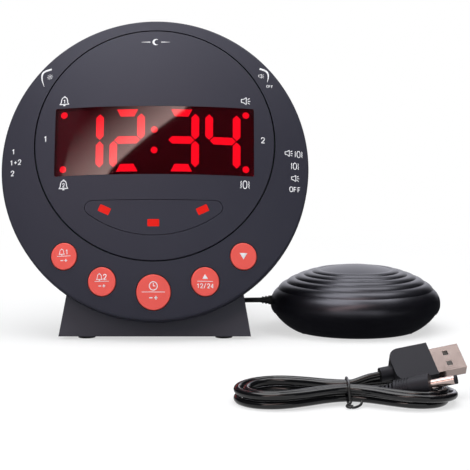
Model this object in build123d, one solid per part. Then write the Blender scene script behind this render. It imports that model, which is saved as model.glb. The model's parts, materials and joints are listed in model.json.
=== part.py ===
"""Bed shaker alarm clock: a leaning round head on a stand, a shaker pad on its cord, and a power lead.

Millimetres, +Z up. The origin is on the surface that the clock stands on, under the middle of its stand.
The face looks towards -Y. The head is drawn in its own frame: x to the right, y up along the face,
z out of the face, with z = 0 in the plane of the rim, and is then leaned back.
"""
import math
import os

from build123d import *

# Head
FACE_LEAN = 17.5
HEAD_RADIUS = 73.0
FACE_FOOT_Y = -38.95
FACE_FOOT_Z = 10.78
DOME_RISE = 14.5
RIM_DEPTH = 8.0
RIM_ROUND = 1.4
WALL = 2.2
FIT = 0.05
GLUE_GAP = 0.1
JOINT_GAP = 0.3

# Snooze plate and its hinge
BEZEL_TOP = 5.9
BEZEL_FOOT = 26.9
PLATE_GAP = 0.55
PLATE_EDGE = 0.5
SNOOZE_ANGLE = 0.9
HINGE_ABOVE_EDGE = 6.0
HINGE_DEPTH = 6.8
HINGE_PIN_RADIUS = 1.0
LUG_SPACING = 26.0
LUG_WIDTH = 4.0
LUG_RADIUS = 2.6
BRACKET_WIDTH = 3.0
BRACKET_ROOT = 5.0
SPRING_MARGIN = 7.0
SPRING_ANGLE = 52.8
SPRING_RADIUS = 2.6
SPRING_WIRE = 0.7
SPRING_TURNS = 4
SNOOZE_SWITCH_MARGIN = 9.1
PEG_RADIUS = 1.6
PEG_LENGTH = 2.5

# Display
WINDOW_SIDE = 9.6
WINDOW_HEIGHT = 33.4
WINDOW_CORNER = 0.8
FLANGE_MARGIN = 2.0
FLANGE_THICKNESS = 0.8
DISPLAY_GAP = 1.6
REFLECTOR_INSET = 0.6
DIGIT_RAISE = 0.7
DIGIT_MARGIN = 8.45
DIGIT_GAP = 6.5
COLON_GAP = 6.25
DIGIT_ROW = 13.4
SEGMENT_WIDTH = 3.6
SEGMENT_SPACE = 0.7
SEGMENT_OUTER_CUT = 1.1
SEGMENT_INNER_CUT = 2.9
SEGMENT_THICKNESS = 1.2
COLON_RADIUS = 1.6
COLON_RISE = 5.0
DOT_RADIUS = 1.6
DOT_MARGIN = 4.1
DOT_RISE = 13.3
LED_WIDTH = 1.8
LED_HEIGHT = 0.7
DISPLAY_BOARD_MARGIN = 1.5
STANDOFF_RADIUS = 2.2
STANDOFF_INSET = 4.0

# Alert light panel
PANEL_BELOW_WINDOW = 12.1
PANEL_ABOVE_EDGE = 11.7
PANEL_RADIUS = 51.0
PANEL_CORNER = 3.2
PANEL_GAP = 0.25
PANEL_FLANGE = 1.0
ALERT_MARGIN = 14.3
ALERT_DROP = 4.3
ALERT_RAISE = 5.5
ALERT_TURN = 25.0
ALERT_WIDTH = 5.6
ALERT_HEIGHT = 3.4
ALERT_CORNER = 0.4
ALERT_LED_RADIUS = 2.5
ALERT_LED_HEIGHT = 8.6

# Buttons: node, degrees from the foot of the face, diameter
BUTTONS = (
    ("alarm_one_button", -44.0, 12.2),
    ("alarm_two_button", -23.5, 13.0),
    ("time_button", 0.0, 16.0),
    ("up_button", 23.5, 13.0),
    ("down_button", 44.0, 12.2),
)
BUTTON_MARGIN = 12.6
BUTTON_GAP = 0.35
BUTTON_PROUD = 0.7
BUTTON_EDGE = 0.5
BUTTON_LIP = 1.1
BUTTON_LIP_THICKNESS = 1.2
BUTTON_TRAVEL = 0.8
BUTTON_STEM_RADIUS = 2.2
TACT_WIDTH = 6.0
TACT_BODY = 3.5
TACT_PLUNGER_RADIUS = 1.7
TACT_PLUNGER = 1.0
CONTACT_GAP = 0.1

# Boards and case screws
BOARD_FRONT = -10.0
BOARD_THICKNESS = 1.6
BOARD_EDGE_GAP = 0.6
BOSS_MARGIN = 9.6
BOSS_RADIUS = 2.6
BOSS_ANGLES = (25.0, 155.0, 212.0, 328.0)
SCREW_RADIUS = 1.3
SCREW_HOLE_GAP = 0.2
SCREW_HEAD_RADIUS = 2.6
SCREW_HEAD = 1.8
SCREW_BITE = 6.0
SCREW_SEAT_DEPTH = 12.0
TUNNEL_WALL = 1.3

# Rear cover
COVER_WALL = 2.4
COVER_LIP = 4.0
COVER_BACK = 46.0
COVER_TAPER = 4.5
COVER_ROUND = 16.0

# Thumbwheels on the edge of the cover
WHEEL_ANGLES = {"dimmer": 138.0, "volume": 42.0}
WHEEL_RADIUS = 10.0
WHEEL_WIDTH = 4.0
WHEEL_NOTCHES = 24
WHEEL_NOTCH_DEPTH = 0.6
WHEEL_PROUD = 2.4
WHEEL_GAP = 0.5
POT_RADIUS = 5.0
POT_HEIGHT = 4.6
POT_SHAFT_RADIUS = 1.5

# Slide switches on the edge of the cover: side, middle of the travel, positions, pitch
SWITCHES = {
    "alarm_select": (-1, 2.1, 3, 5.2),
    "mode_select": (1, -2.2, 4, 5.8),
}
SWITCH_BODY_DEPTH = 7.0
SWITCH_BODY_HEIGHT = 6.0
SWITCH_END_WALL = 3.0
SWITCH_WALL_GAP = 1.0
LEVER_WIDTH = 3.2
LEVER_HEIGHT = 2.4
LEVER_ROOT = 2.5
KNOB_WIDTH = 4.6
KNOB_HEIGHT = 3.4
KNOB_PROUD = 2.4
KNOB_GROOVE = 0.5
SLIDE_GAP = 0.4

# Back of the cover
SPEAKER_Y = 17.0
SPEAKER_RADIUS = 20.0
SPEAKER_FRAME = 3.0
SPEAKER_MAGNET_RADIUS = 9.0
SPEAKER_DEPTH = 13.0
SPEAKER_SEAT_WALL = 1.4
GRILLE_SLOTS = 7
GRILLE_PITCH = 4.6
GRILLE_SLOT = 2.2
GRILLE_MARGIN = 3.0
JACK_X = 26.0
JACK_Y = -25.0
JACK_BODY_RADIUS = 4.6
JACK_BODY = 12.0
JACK_NOSE_RADIUS = 3.2
JACK_NOSE = 2.6
NUT_RADIUS = 5.2
NUT_HEIGHT = 1.8
DC_BORE_RADIUS = 1.85
DC_PIN_RADIUS = 0.6
DC_BORE_DEPTH = 9.5
DOOR_Y = -20.0
DOOR_RADIUS = 12.4
DOOR_THICKNESS = 1.4
DOOR_PLUG_RADIUS = 10.8
DOOR_GAP = 0.2
DOOR_TAB = 1.0
DOOR_TAB_WIDTH = 5.0
DOOR_TAB_THICKNESS = 1.2
DOOR_UNLOCK = 60.0
COIN_SLOT_LENGTH = 14.0
COIN_SLOT_WIDTH = 2.0
COIN_SLOT_DEPTH = 0.8
CUP_WALL = 1.4
CELL_RADIUS = 10.0
CELL_THICKNESS = 3.2

# Stand
STAND_FRONT_WIDTH = 91.2
STAND_REAR_WIDTH = 64.0
STAND_SIDE_SLOPE = 0.108
STAND_UNDER = 1.5
STAND_TOP = 36.0
STAND_REAR_HEIGHT = 12.0
STAND_REAR_Y = 31.0
STAND_BEHIND_RIM = 4.0
STAND_WALL = 2.2
SADDLE_GAP = 0.1
STAND_SCREW_X = 20.0
STAND_SCREW_Z = -25.0
STAND_BOSS_RADIUS = 4.0
STAND_BOSS_STEP = 1.4
COVER_BOSS_LENGTH = 8.0
BASE_THICKNESS = 1.8
FOOT_RADIUS = 4.1
FOOT_RECESS = 0.5
FOOT_INSET_FRONT = 12.9
FOOT_INSET_REAR = 8.0
FOOT_SETBACK = 7.2

# Shaker pad
SHAKER_X = 97.0
SHAKER_Y = 2.0
SHAKER_RADIUS = 41.5
SHAKER_HEIGHT = 31.6
SHAKER_WAIST = 12.4
SHAKER_SEAM = 8.8
SHAKER_TUCK = 1.2
SHAKER_UNDERCUT = 11.5
SHAKER_BELLY = 0.9
SHAKER_WALL = 2.2
RIPPLES = 6
RIPPLE_BORDER = 3.6
RIPPLE_PITCH = 4.15
RIPPLE_SWELL = 0.6
SHAKER_STEP = 0.35
MOTOR_RADIUS = 8.5
MOTOR_LENGTH = 24.0
MOTOR_Z = 13.4
MOTOR_FRONT_X = 4.0
MOTOR_NECK_RADIUS = 3.0
MOTOR_NECK = 1.2
MOTOR_SHAFT_RADIUS = 1.0
MOTOR_SHAFT = 13.0
WEIGHT_RADIUS = 9.0
WEIGHT_LENGTH = 9.0
WEIGHT_HUB_RADIUS = 2.6
WEIGHT_GAP = 0.8
CRADLE_WIDTH = 9.0
CRADLE_SIDE = 2.5
SHAKER_SCREW_MARGIN = 3.0
SHAKER_SCREW_RADIUS = 1.3
SHAKER_SCREW = 9.0
SHAKER_BOSS_RADIUS = 3.4
SHAKER_HEAD_RADIUS = 2.6
SHAKER_HEAD = 1.8
SHAKER_HEAD_RECESS = 1.0
BOOT_Z = 14.2
BOOT_RADIUS = 2.2
BOOT_TIP_RADIUS = 1.7
BOOT_LENGTH = 4.8
BOOT_RIBS = 3
BOOT_GROOVE = 0.45
BOOT_COLLAR_RADIUS = 3.6
BOOT_COLLAR = 1.4

# Shaker cord: two free stretches and the put-away coil between them
CORD_RADIUS = 1.2
CORD_SIDES = 8
BEND_SHARE = 0.45
NUDGE = 1e-4
GAP_SAMPLES = 6
GAP_APART = 6 * math.pi
COIL_X = -6.0
COIL_Y = 66.0
COIL_MIDDLE_RADIUS = 14.4
COIL_LAYERS = 4
COIL_TURNS = 14.5
COIL_GAP = 0.5
COIL_ARC_PAIRS = 4
COIL_TIE_WIDTH = 5.0
COIL_TIE_THICKNESS = 0.5
TIE_GAP = 0.3
PLUG_PIN_RADIUS = 1.75
PLUG_PIN = 11.0
PLUG_GRIP_RADIUS = 4.2
PLUG_GRIP = 16.0
PLUG_NECK = 7.0
PLUG_NECK_RADIUS = 1.9
PLUG_SEAT_GAP = 0.3
PLUG_LEAVE = 9.0
CORD_OUT = (
    (45.5, 2.0, 14.2), (41.2, 4.8, 13.6), (38.6, 9.6, 12.1), (37.6, 18.2, 8.4), (36.6, 28.0, 4.2),
    (32.6, 37.2, 2.2), (25.0, 43.2, 2.0), (15.4, 45.8, 2.0),
)
CORD_RUN_IN = 9.0
CORD_BACK = ((11.5, 81.8, 13.0), (19.0, 76.0, 17.2), (23.6, 69.0, 22.4), (25.6, 61.0, 27.8))

# Power lead, tied as a hank in front of the shaker
LEAD_RADIUS = 1.5
LEAD_SIDES = 8
HANK_X = 82.0
HANK_Y = -168.0
HANK_LOBE = 37.4
HANK_RIGHT_SHARE = -0.044
HANK_WAIST = 1.2
HANK_BELLY = 46.0
HANK_STEP = 3.6
HANK_LAYER_GAP = 0.6
HANK_TURNS = 3.5
HANK_ARC_PAIRS = 12
HANK_TIE_WIDTH = 3.0
HANK_TIE_THICKNESS = 0.9
HANK_TIE_TAIL = 7.0

# USB plug: where its sleeve begins beside the tie, and its turn, rise and roll
USB_START = (13.0, 4.0, 9.8)
USB_YAW = 12.0
USB_PITCH = 9.0
USB_ROLL = 40.0
USB_SLEEVE = 5.0
USB_SLEEVE_RADIUS = 2.9
USB_GRIP = 16.5
USB_GRIP_WIDTH = 16.0
USB_GRIP_HEIGHT = 8.5
USB_GRIP_CORNER = 4.5
USB_SHELL = 12.5
USB_SHELL_WIDTH = 12.0
USB_SHELL_HEIGHT = 4.5
USB_SHELL_WALL = 0.35
USB_HOLE = 2.2
USB_HOLE_X = 6.4
USB_HOLE_Y = 2.6
USB_TONGUE = 11.8
USB_TONGUE_HEIGHT = 1.9

# Barrel plug: where its strain relief begins beside the tie, and its turn and rise
BARREL_START = (11.0, -2.9, 3.4)
BARREL_YAW = -16.0
BARREL_PITCH = 14.0
RELIEF = 8.0
RELIEF_RINGS = 5
RELIEF_CORE_RADIUS = 1.9
RELIEF_RADIUS = 2.4
RELIEF_GROWTH = 0.25
BARREL_GRIP = 14.0
BARREL_GRIP_RADIUS = 4.25
BARREL_GROOVES = 5
BARREL_GROOVE = 0.3
BARREL_GROOVE_PITCH = 1.1
BARREL = 9.5
BARREL_RADIUS = 1.75
BARREL_BORE_RADIUS = 0.675
BARREL_TIP = 1.0

# Values that follow from the sizes above
DOME_RADIUS = (HEAD_RADIUS**2 + DOME_RISE**2) / (2 * DOME_RISE)
DOME_CENTRE = DOME_RISE - DOME_RADIUS
LEAN = math.radians(FACE_LEAN)
OUT_OF_FACE = (0, -math.cos(LEAN), math.sin(LEAN))
HEAD_CENTRE_Y = FACE_FOOT_Y + HEAD_RADIUS * math.sin(LEAN)
HEAD_CENTRE_Z = FACE_FOOT_Z + HEAD_RADIUS * math.cos(LEAN)
HEAD = Plane((0, HEAD_CENTRE_Y, HEAD_CENTRE_Z), x_dir=(1, 0, 0), z_dir=OUT_OF_FACE).location
PLATE_RADIUS = HEAD_RADIUS - (BEZEL_TOP + BEZEL_FOOT) / 2
PLATE_OFFSET = (BEZEL_FOOT - BEZEL_TOP) / 2
PLATE_TOP = PLATE_OFFSET + PLATE_RADIUS
PLATE_FOOT = PLATE_OFFSET - PLATE_RADIUS
SNOOZE_SWITCH_Y = PLATE_TOP - SNOOZE_SWITCH_MARGIN
WINDOW_WIDTH = 2 * (PLATE_RADIUS - WINDOW_SIDE)
DIGIT_COLUMN = (WINDOW_WIDTH / 2 - COLON_GAP - DIGIT_GAP - DIGIT_MARGIN) / 2
INNER_DIGIT = COLON_GAP + DIGIT_COLUMN / 2
OUTER_DIGIT = INNER_DIGIT + DIGIT_COLUMN + DIGIT_GAP
DIGIT_PLACES = (-OUTER_DIGIT, -INNER_DIGIT, INNER_DIGIT, OUTER_DIGIT)
DOT_X = WINDOW_WIDTH / 2 - DOT_MARGIN
PANEL_TOP = PLATE_OFFSET - WINDOW_HEIGHT / 2 - PANEL_BELOW_WINDOW
PANEL_BOTTOM = PLATE_FOOT + PANEL_ABOVE_EDGE
PANEL_HALF = math.sqrt(PANEL_RADIUS**2 - (PANEL_RADIUS + PANEL_BOTTOM - PANEL_TOP) ** 2)
ALERT_X = PANEL_HALF - ALERT_MARGIN
ALERT_Y = PANEL_TOP - ALERT_DROP
ALERT_PLACES = (
    (-ALERT_X, ALERT_Y, -ALERT_TURN),
    (0.0, PANEL_BOTTOM + ALERT_RAISE, 0.0),
    (ALERT_X, ALERT_Y, ALERT_TURN),
)
BUTTON_CIRCLE = HEAD_RADIUS - BUTTON_MARGIN
BOSS_CIRCLE = HEAD_RADIUS - BOSS_MARGIN
BOARD_BACK = BOARD_FRONT - BOARD_THICKNESS
COVER_RADIUS = HEAD_RADIUS - WALL - JOINT_GAP
COVER_BACK_RADIUS = COVER_RADIUS - COVER_TAPER
LENS_DEPTH = WALL + FLANGE_THICKNESS
REFLECTOR_DEPTH = LENS_DEPTH + DISPLAY_GAP
HINGE_Y = PLATE_FOOT + HINGE_ABOVE_EDGE
TACT_TOP = BOARD_FRONT + TACT_BODY + TACT_PLUNGER
UPWARDS = (Align.CENTER, Align.CENTER, Align.MIN)


def tube(radius, low, high, x=0.0, y=0.0):
    """A round bar along z between two heights."""
    return Pos(x, y, (low + high) / 2) * Cylinder(radius, high - low)


def block(x, y, z):
    """A box from its three (low, high) pairs."""
    middle = [(low + high) / 2 for low, high in (x, y, z)]
    return Pos(*middle) * Box(x[1] - x[0], y[1] - y[0], z[1] - z[0])


def ball(depth):
    """Everything that lies deeper than this under the round front surface; its poles are off to the sides."""
    return Pos(0, 0, DOME_CENTRE) * Rot(0, 90, 0) * Sphere(DOME_RADIUS - depth)


def dome_height(distance, depth=0.0):
    """Height of the front surface, or of one this deep under it, at a distance from the face's axis."""
    return DOME_CENTRE + math.sqrt((DOME_RADIUS - depth) ** 2 - distance**2)


HINGE_Z = dome_height(HINGE_Y, WALL) - HINGE_DEPTH + WALL


def around(radius, degrees):
    """The point at this angle on a circle about the face's axis."""
    return radius * math.cos(math.radians(degrees)), radius * math.sin(math.radians(degrees))


def skin(outline, top, bottom):
    """The part of an outline's prism that lies between two depths under the front surface."""
    prism = Pos(0, 0, BOARD_FRONT) * extrude(outline, DOME_RISE - BOARD_FRONT + 1)
    return (prism & ball(top)) - ball(bottom)


def across(radius, low, high, y, z):
    """A round bar along x between two places."""
    return Pos((low + high) / 2, y, z) * Rot(0, 90, 0) * Cylinder(radius, high - low)


def screw(shank, head_radius, head, length):
    """A pan-head screw along z with its head's seat at z = 0 and its shank going up."""
    top = fillet(Cylinder(head_radius, head).edges().sort_by(Axis.Z)[:1], head / 3)
    recess = Box(head_radius, head / 4, head / 2) + Box(head / 4, head_radius, head / 2)
    return Pos(0, 0, -head / 2) * (top - Pos(0, 0, -head / 2) * recess) + tube(shank, 0, length)


BOSSES = [around(BOSS_CIRCLE, angle) for angle in BOSS_ANGLES]
SPRING_X, SPRING_RISE = around(PLATE_RADIUS - SPRING_MARGIN, SPRING_ANGLE)
SPRING_Y = PLATE_OFFSET + SPRING_RISE
SPRING_OUTER = SPRING_RADIUS + SPRING_WIRE
SPRING_TOP = dome_height(math.hypot(SPRING_X, SPRING_Y) + SPRING_OUTER, WALL)
BUTTON_SPOTS = {
    node: (*around(BUTTON_CIRCLE, angle - 90), diameter / 2) for node, angle, diameter in BUTTONS
}


# Front of the head
def plate_opening(grow):
    """The round outline of the snooze plate, or of the hole that it moves in."""
    return Pos(0, PLATE_OFFSET) * Circle(PLATE_RADIUS + grow)


def front_bezel():
    """Domed ring with a deep rim, holes for the buttons, screw bosses and the plate's hinge brackets."""
    body = tube(HEAD_RADIUS, -RIM_DEPTH, DOME_RISE) & ball(0)
    body = fillet(body.edges().filter_by(GeomType.CIRCLE).sort_by(Axis.Z)[-1], RIM_ROUND)
    body -= tube(HEAD_RADIUS - WALL, -RIM_DEPTH, DOME_RISE) & ball(WALL)
    body -= Pos(0, 0, -RIM_DEPTH) * extrude(plate_opening(PLATE_GAP), DOME_RISE + RIM_DEPTH)
    body -= [tube(r + BUTTON_GAP, -RIM_DEPTH, DOME_RISE, x, y) for x, y, r in BUTTON_SPOTS.values()]
    for x, y in BOSSES:
        body += tube(BOSS_RADIUS, BOARD_FRONT, DOME_RISE, x, y) & ball(WALL / 2)
        body -= tube(SCREW_RADIUS + FIT, BOARD_FRONT, BOARD_FRONT + SCREW_BITE + JOINT_GAP, x, y)
    for side in (-1, 1):
        inner = side * (LUG_SPACING / 2 + LUG_WIDTH / 2 + JOINT_GAP)
        width = sorted((inner, inner + side * BRACKET_WIDTH))
        edge = PLATE_OFFSET - math.sqrt((PLATE_RADIUS + PLATE_GAP) ** 2 - inner**2)
        low = HINGE_Z - LUG_RADIUS
        root = block(width, (edge - BRACKET_ROOT, edge), (low, DOME_RISE)) & ball(WALL / 2)
        arm = block(width, (edge - BRACKET_ROOT, HINGE_Y), (low, HINGE_Z + LUG_RADIUS))
        body += root + arm + across(LUG_RADIUS, *width, HINGE_Y, HINGE_Z)
        body -= across(HINGE_PIN_RADIUS + FIT, *width, HINGE_Y, HINGE_Z)
    return body


def hinge_pin():
    """Steel pin that the bezel's brackets hold and the plate turns on."""
    reach = LUG_SPACING / 2 + LUG_WIDTH / 2 + JOINT_GAP + BRACKET_WIDTH
    return across(HINGE_PIN_RADIUS, -reach, reach, HINGE_Y, HINGE_Z)


def window(grow):
    """The display window's outline, centred on the plate."""
    size = (WINDOW_WIDTH + 2 * grow, WINDOW_HEIGHT + 2 * grow)
    return Pos(0, PLATE_OFFSET) * RectangleRounded(*size, WINDOW_CORNER + max(grow, 0))


def panel(grow):
    """The alert panel's outline: the foot of a circle, cut level at its top, with rounded ends."""
    radius = PANEL_RADIUS + grow
    disc = Pos(0, PANEL_BOTTOM + PANEL_RADIUS) * Circle(radius)
    above = Pos(0, PANEL_TOP + grow + 2 * radius) * Rectangle(4 * radius, 4 * radius)
    smile = disc - above
    return fillet(smile.vertices(), PANEL_CORNER + grow)


def alert_window(place, grow):
    """One of the three small windows in the alert panel."""
    x, y, turn = place
    size = (ALERT_WIDTH + 2 * grow, ALERT_HEIGHT + 2 * grow)
    return Pos(x, y) * Rot(0, 0, turn) * RectangleRounded(*size, ALERT_CORNER + grow)


def snooze_drop(y):
    """How far a point of the plate moves inwards when the plate is pressed home."""
    return (y - HINGE_Y) * math.sin(math.radians(SNOOZE_ANGLE))


def snooze_plate():
    """Domed disc with the display and panel openings, hinge lugs, spring pegs and a switch post."""
    body = tube(PLATE_RADIUS, BOARD_FRONT, DOME_RISE, 0, PLATE_OFFSET) & ball(0)
    body = fillet(body.edges().sort_by(Axis.Z)[-1], PLATE_EDGE)
    body -= ball(WALL)
    body -= Pos(0, 0, BOARD_FRONT) * extrude(window(0), DOME_RISE - BOARD_FRONT)
    body -= Pos(0, 0, BOARD_FRONT) * extrude(panel(PANEL_GAP), DOME_RISE - BOARD_FRONT)
    for side in (-1, 1):
        middle = side * LUG_SPACING / 2
        width = (middle - LUG_WIDTH / 2, middle + LUG_WIDTH / 2)
        lug = block(width, (HINGE_Y - LUG_RADIUS, HINGE_Y + LUG_RADIUS), (HINGE_Z, DOME_RISE))
        body += (lug & ball(WALL / 2)) + across(LUG_RADIUS, *width, HINGE_Y, HINGE_Z)
        body -= across(HINGE_PIN_RADIUS + FIT, *width, HINGE_Y, HINGE_Z)
        seat = tube(SPRING_OUTER, SPRING_TOP, DOME_RISE, side * SPRING_X, SPRING_Y) & ball(WALL / 2)
        body += seat + tube(PEG_RADIUS, SPRING_TOP - PEG_LENGTH, SPRING_TOP, side * SPRING_X, SPRING_Y)
    foot = TACT_TOP + snooze_drop(SNOOZE_SWITCH_Y) + CONTACT_GAP
    return body + (tube(BUTTON_STEM_RADIUS, foot, DOME_RISE, 0, SNOOZE_SWITCH_Y) & ball(WALL / 2))


def display_lens():
    """Dark red window, level with the plate, with a flange glued behind the opening."""
    return skin(window(-GLUE_GAP), 0, LENS_DEPTH) + skin(window(FLANGE_MARGIN), WALL + FIT, LENS_DEPTH)


def alert_panel():
    """Insert under the display with three windows and a flange behind the plate."""
    body = skin(panel(0), 0, LENS_DEPTH) + skin(panel(PANEL_FLANGE), WALL + FIT, LENS_DEPTH)
    height = DOME_RISE - BOARD_FRONT
    return body - [Pos(0, 0, BOARD_FRONT) * extrude(alert_window(p, 0), height) for p in ALERT_PLACES]


def alert_lenses():
    """Red windows of the alert panel."""
    return [skin(alert_window(place, -FIT), 0, LENS_DEPTH) for place in ALERT_PLACES]


def alert_leds():
    """Round LEDs on the main board under the alert windows."""
    lamp = Cylinder(ALERT_LED_RADIUS, ALERT_LED_HEIGHT)
    lamp = fillet(lamp.edges().sort_by(Axis.Z)[-1:], ALERT_LED_RADIUS - FIT)
    return [Pos(x, y, BOARD_FRONT + ALERT_LED_HEIGHT / 2) * lamp for x, y, turn in ALERT_PLACES]


def button(x, y, radius):
    """Cap that follows the dome, with a lip behind the bezel and a stem over its switch."""
    lip = radius + BUTTON_LIP
    top = dome_height(BUTTON_CIRCLE + lip, WALL) - CONTACT_GAP
    cap = tube(radius, top, DOME_RISE + BUTTON_PROUD, x, y) & ball(-BUTTON_PROUD)
    cap = fillet(cap.edges().sort_by(Axis.Z)[-1], BUTTON_EDGE)
    low = top - BUTTON_LIP_THICKNESS
    stem = tube(BUTTON_STEM_RADIUS, TACT_TOP + BUTTON_TRAVEL + CONTACT_GAP, low, x, y)
    return cap + tube(lip, low, top, x, y) + stem


def tact_switch(x, y):
    """Small push switch on the front of the main board."""
    half = TACT_WIDTH / 2
    body = block((x - half, x + half), (y - half, y + half), (BOARD_FRONT, BOARD_FRONT + TACT_BODY))
    return body + tube(TACT_PLUNGER_RADIUS, BOARD_FRONT + TACT_BODY, TACT_TOP, x, y)


# Display behind the lens
UPRIGHT = 90
SEGMENT_SHAPE = {
    "a": (0, 1, 0), "b": (1, 0.5, UPRIGHT), "c": (1, -0.5, UPRIGHT), "d": (0, -1, 180),
    "e": (-1, -0.5, UPRIGHT), "f": (-1, 0.5, UPRIGHT), "g": (0, 0, 0),
}
LIT = ("bc", "abged", "abgcd", "fbgc")
DIGIT_Y = PLATE_OFFSET + DIGIT_RAISE


def segment_outline(letter, digit_x):
    """One bar of a seven-bar digit: pointed at both ends, or narrowing inwards at the digit's top and foot."""
    across_share, up_share, turn = SEGMENT_SHAPE[letter]
    half = ((DIGIT_ROW if turn == UPRIGHT else DIGIT_COLUMN) - SEGMENT_SPACE) / 2
    slim = SEGMENT_WIDTH / 2
    shoulder = half - slim
    tip = [(half, 0), (shoulder, slim), (-shoulder, slim)]
    points = tip + [(-x, -y) for x, y in tip]
    if letter in "ad":
        wide = half - SEGMENT_OUTER_CUT
        narrow = half - SEGMENT_INNER_CUT
        points = [(wide, slim), (-wide, slim), (-narrow, -slim), (narrow, -slim)]
    place = Pos(digit_x + across_share * DIGIT_COLUMN / 2, DIGIT_Y + up_share * DIGIT_ROW)
    return place * Rot(0, 0, turn) * make_face(Polyline(*points, close=True))


def dot_outlines():
    """The colon between the hours and minutes, and the four indicator dots in the corners."""
    colon = [Pos(0, DIGIT_Y + rise) * Circle(COLON_RADIUS) for rise in (-COLON_RISE, COLON_RISE)]
    corners = [(x, DIGIT_Y + rise) for x in (-DOT_X, DOT_X) for rise in (-DOT_RISE, DOT_RISE)]
    return colon + [Pos(*corner) * Circle(DOT_RADIUS) for corner in corners]


LIT_OUTLINES = dot_outlines()
DARK_OUTLINES = []
for digit_x, lit in zip(DIGIT_PLACES, LIT):
    for letter in SEGMENT_SHAPE:
        (LIT_OUTLINES if letter in lit else DARK_OUTLINES).append(segment_outline(letter, digit_x))


def segments(outlines):
    """Light spreaders that fill the mouths of the reflector's wells."""
    return [skin(outline, REFLECTOR_DEPTH, REFLECTOR_DEPTH + SEGMENT_THICKNESS) for outline in outlines]


def reflector_floor():
    """Height of the display board's front, set by the dome at the reflector's corners."""
    corner = math.hypot(WINDOW_WIDTH / 2, PLATE_OFFSET + WINDOW_HEIGHT / 2)
    return dome_height(corner, REFLECTOR_DEPTH + SEGMENT_THICKNESS) - LED_HEIGHT - CONTACT_GAP


DISPLAY_FLOOR = reflector_floor()


def display_reflector():
    """Block with a light well for each segment, rounded in front like the lens."""
    body = skin(window(-REFLECTOR_INSET), REFLECTOR_DEPTH, DOME_RADIUS / 2)
    body -= block((-HEAD_RADIUS, HEAD_RADIUS), (-HEAD_RADIUS, HEAD_RADIUS), (2 * BOARD_FRONT, DISPLAY_FLOOR))
    wells = LIT_OUTLINES + DARK_OUTLINES
    return body - [Pos(0, 0, DISPLAY_FLOOR) * extrude(outline, DOME_RISE) for outline in wells]


def display_board():
    """Board behind the reflector, with one LED chip in the bottom of each well."""
    outline = window(DISPLAY_BOARD_MARGIN)
    board = Pos(0, 0, DISPLAY_FLOOR - BOARD_THICKNESS) * extrude(outline, BOARD_THICKNESS)
    half = LED_WIDTH / 2
    height = (DISPLAY_FLOOR, DISPLAY_FLOOR + LED_HEIGHT)
    middles = [outline.center() for outline in LIT_OUTLINES + DARK_OUTLINES]
    return board + [block((p.X - half, p.X + half), (p.Y - half, p.Y + half), height) for p in middles]


def display_standoffs():
    """Posts between the main board and the display board."""
    x = WINDOW_WIDTH / 2 - STANDOFF_INSET
    rise = WINDOW_HEIGHT / 2 - STANDOFF_INSET
    places = [(sx * x, PLATE_OFFSET + sy * rise) for sx in (-1, 1) for sy in (-1, 1)]
    return [tube(STANDOFF_RADIUS, BOARD_FRONT, DISPLAY_FLOOR - BOARD_THICKNESS, *place) for place in places]


def main_board():
    """Round board behind the face, clamped between the bosses and the cover's screw tunnels."""
    body = tube(COVER_RADIUS - COVER_WALL - BOARD_EDGE_GAP, BOARD_BACK, BOARD_FRONT)
    return body - [tube(SCREW_RADIUS + SCREW_HOLE_GAP, BOARD_BACK, BOARD_FRONT, x, y) for x, y in BOSSES]


# Rear cover and what it holds
COVER_FRONT = COVER_LIP - RIM_DEPTH
BACK = -COVER_BACK
INNER_BACK = COVER_WALL - COVER_BACK
TUNNEL_RADIUS = SCREW_HEAD_RADIUS + SCREW_HOLE_GAP + TUNNEL_WALL
SCREW_SEAT = BOARD_BACK - SCREW_SEAT_DEPTH


def cover_body(inset, front):
    """The cover's round body, drawn in from its outside: a tapered side rounded into a flat back."""
    corner = (COVER_BACK_RADIUS - inset, BACK + inset)
    side = COVER_RADIUS - inset
    outline = [(0, BACK + inset), corner, (side, -RIM_DEPTH), (side, front), (0, front)]
    profile = make_face(Polyline(*outline, close=True))
    turn = profile.vertices().sort_by_distance((*corner, 0))[0]
    return revolve(Plane.XZ * fillet(turn, COVER_ROUND - inset), Axis.Z)


def cover_side(z):
    """Outside radius of the cover's tapered side at this height."""
    share = (-RIM_DEPTH - z) / (COVER_BACK - RIM_DEPTH)
    return COVER_RADIUS + share * (COVER_BACK_RADIUS - COVER_RADIUS)


WHEEL_TOP = BOARD_BACK - POT_HEIGHT - WHEEL_GAP
WHEEL_BOTTOM = WHEEL_TOP - WHEEL_WIDTH
WHEEL_CIRCLE = cover_side((WHEEL_TOP + WHEEL_BOTTOM) / 2) + WHEEL_PROUD - WHEEL_RADIUS
WHEEL_SPOTS = {name: around(WHEEL_CIRCLE, angle) for name, angle in WHEEL_ANGLES.items()}


def wheel(x, y):
    """Thumbwheel with a notched edge on the potentiometer's shaft."""
    teeth = []
    for step in range(2 * WHEEL_NOTCHES):
        radius = WHEEL_RADIUS - (step % 2) * WHEEL_NOTCH_DEPTH
        teeth.append(around(radius, step * 180 / WHEEL_NOTCHES))
    body = extrude(make_face(Polyline(*teeth, close=True)), WHEEL_WIDTH)
    return Pos(x, y, WHEEL_BOTTOM) * (body - tube(POT_SHAFT_RADIUS + FIT, 0, WHEEL_WIDTH))


def potentiometer(x, y):
    """Round potentiometer behind the main board, with the shaft that its wheel turns on."""
    return tube(POT_RADIUS, BOARD_BACK - POT_HEIGHT, BOARD_BACK, x, y) + tube(
        POT_SHAFT_RADIUS, WHEEL_BOTTOM, BOARD_BACK - POT_HEIGHT, x, y
    )


SWITCH_Z = BOARD_BACK - SWITCH_BODY_HEIGHT / 2
KNOB_SEAT = cover_side(SWITCH_Z + KNOB_HEIGHT / 2) + JOINT_GAP


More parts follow.
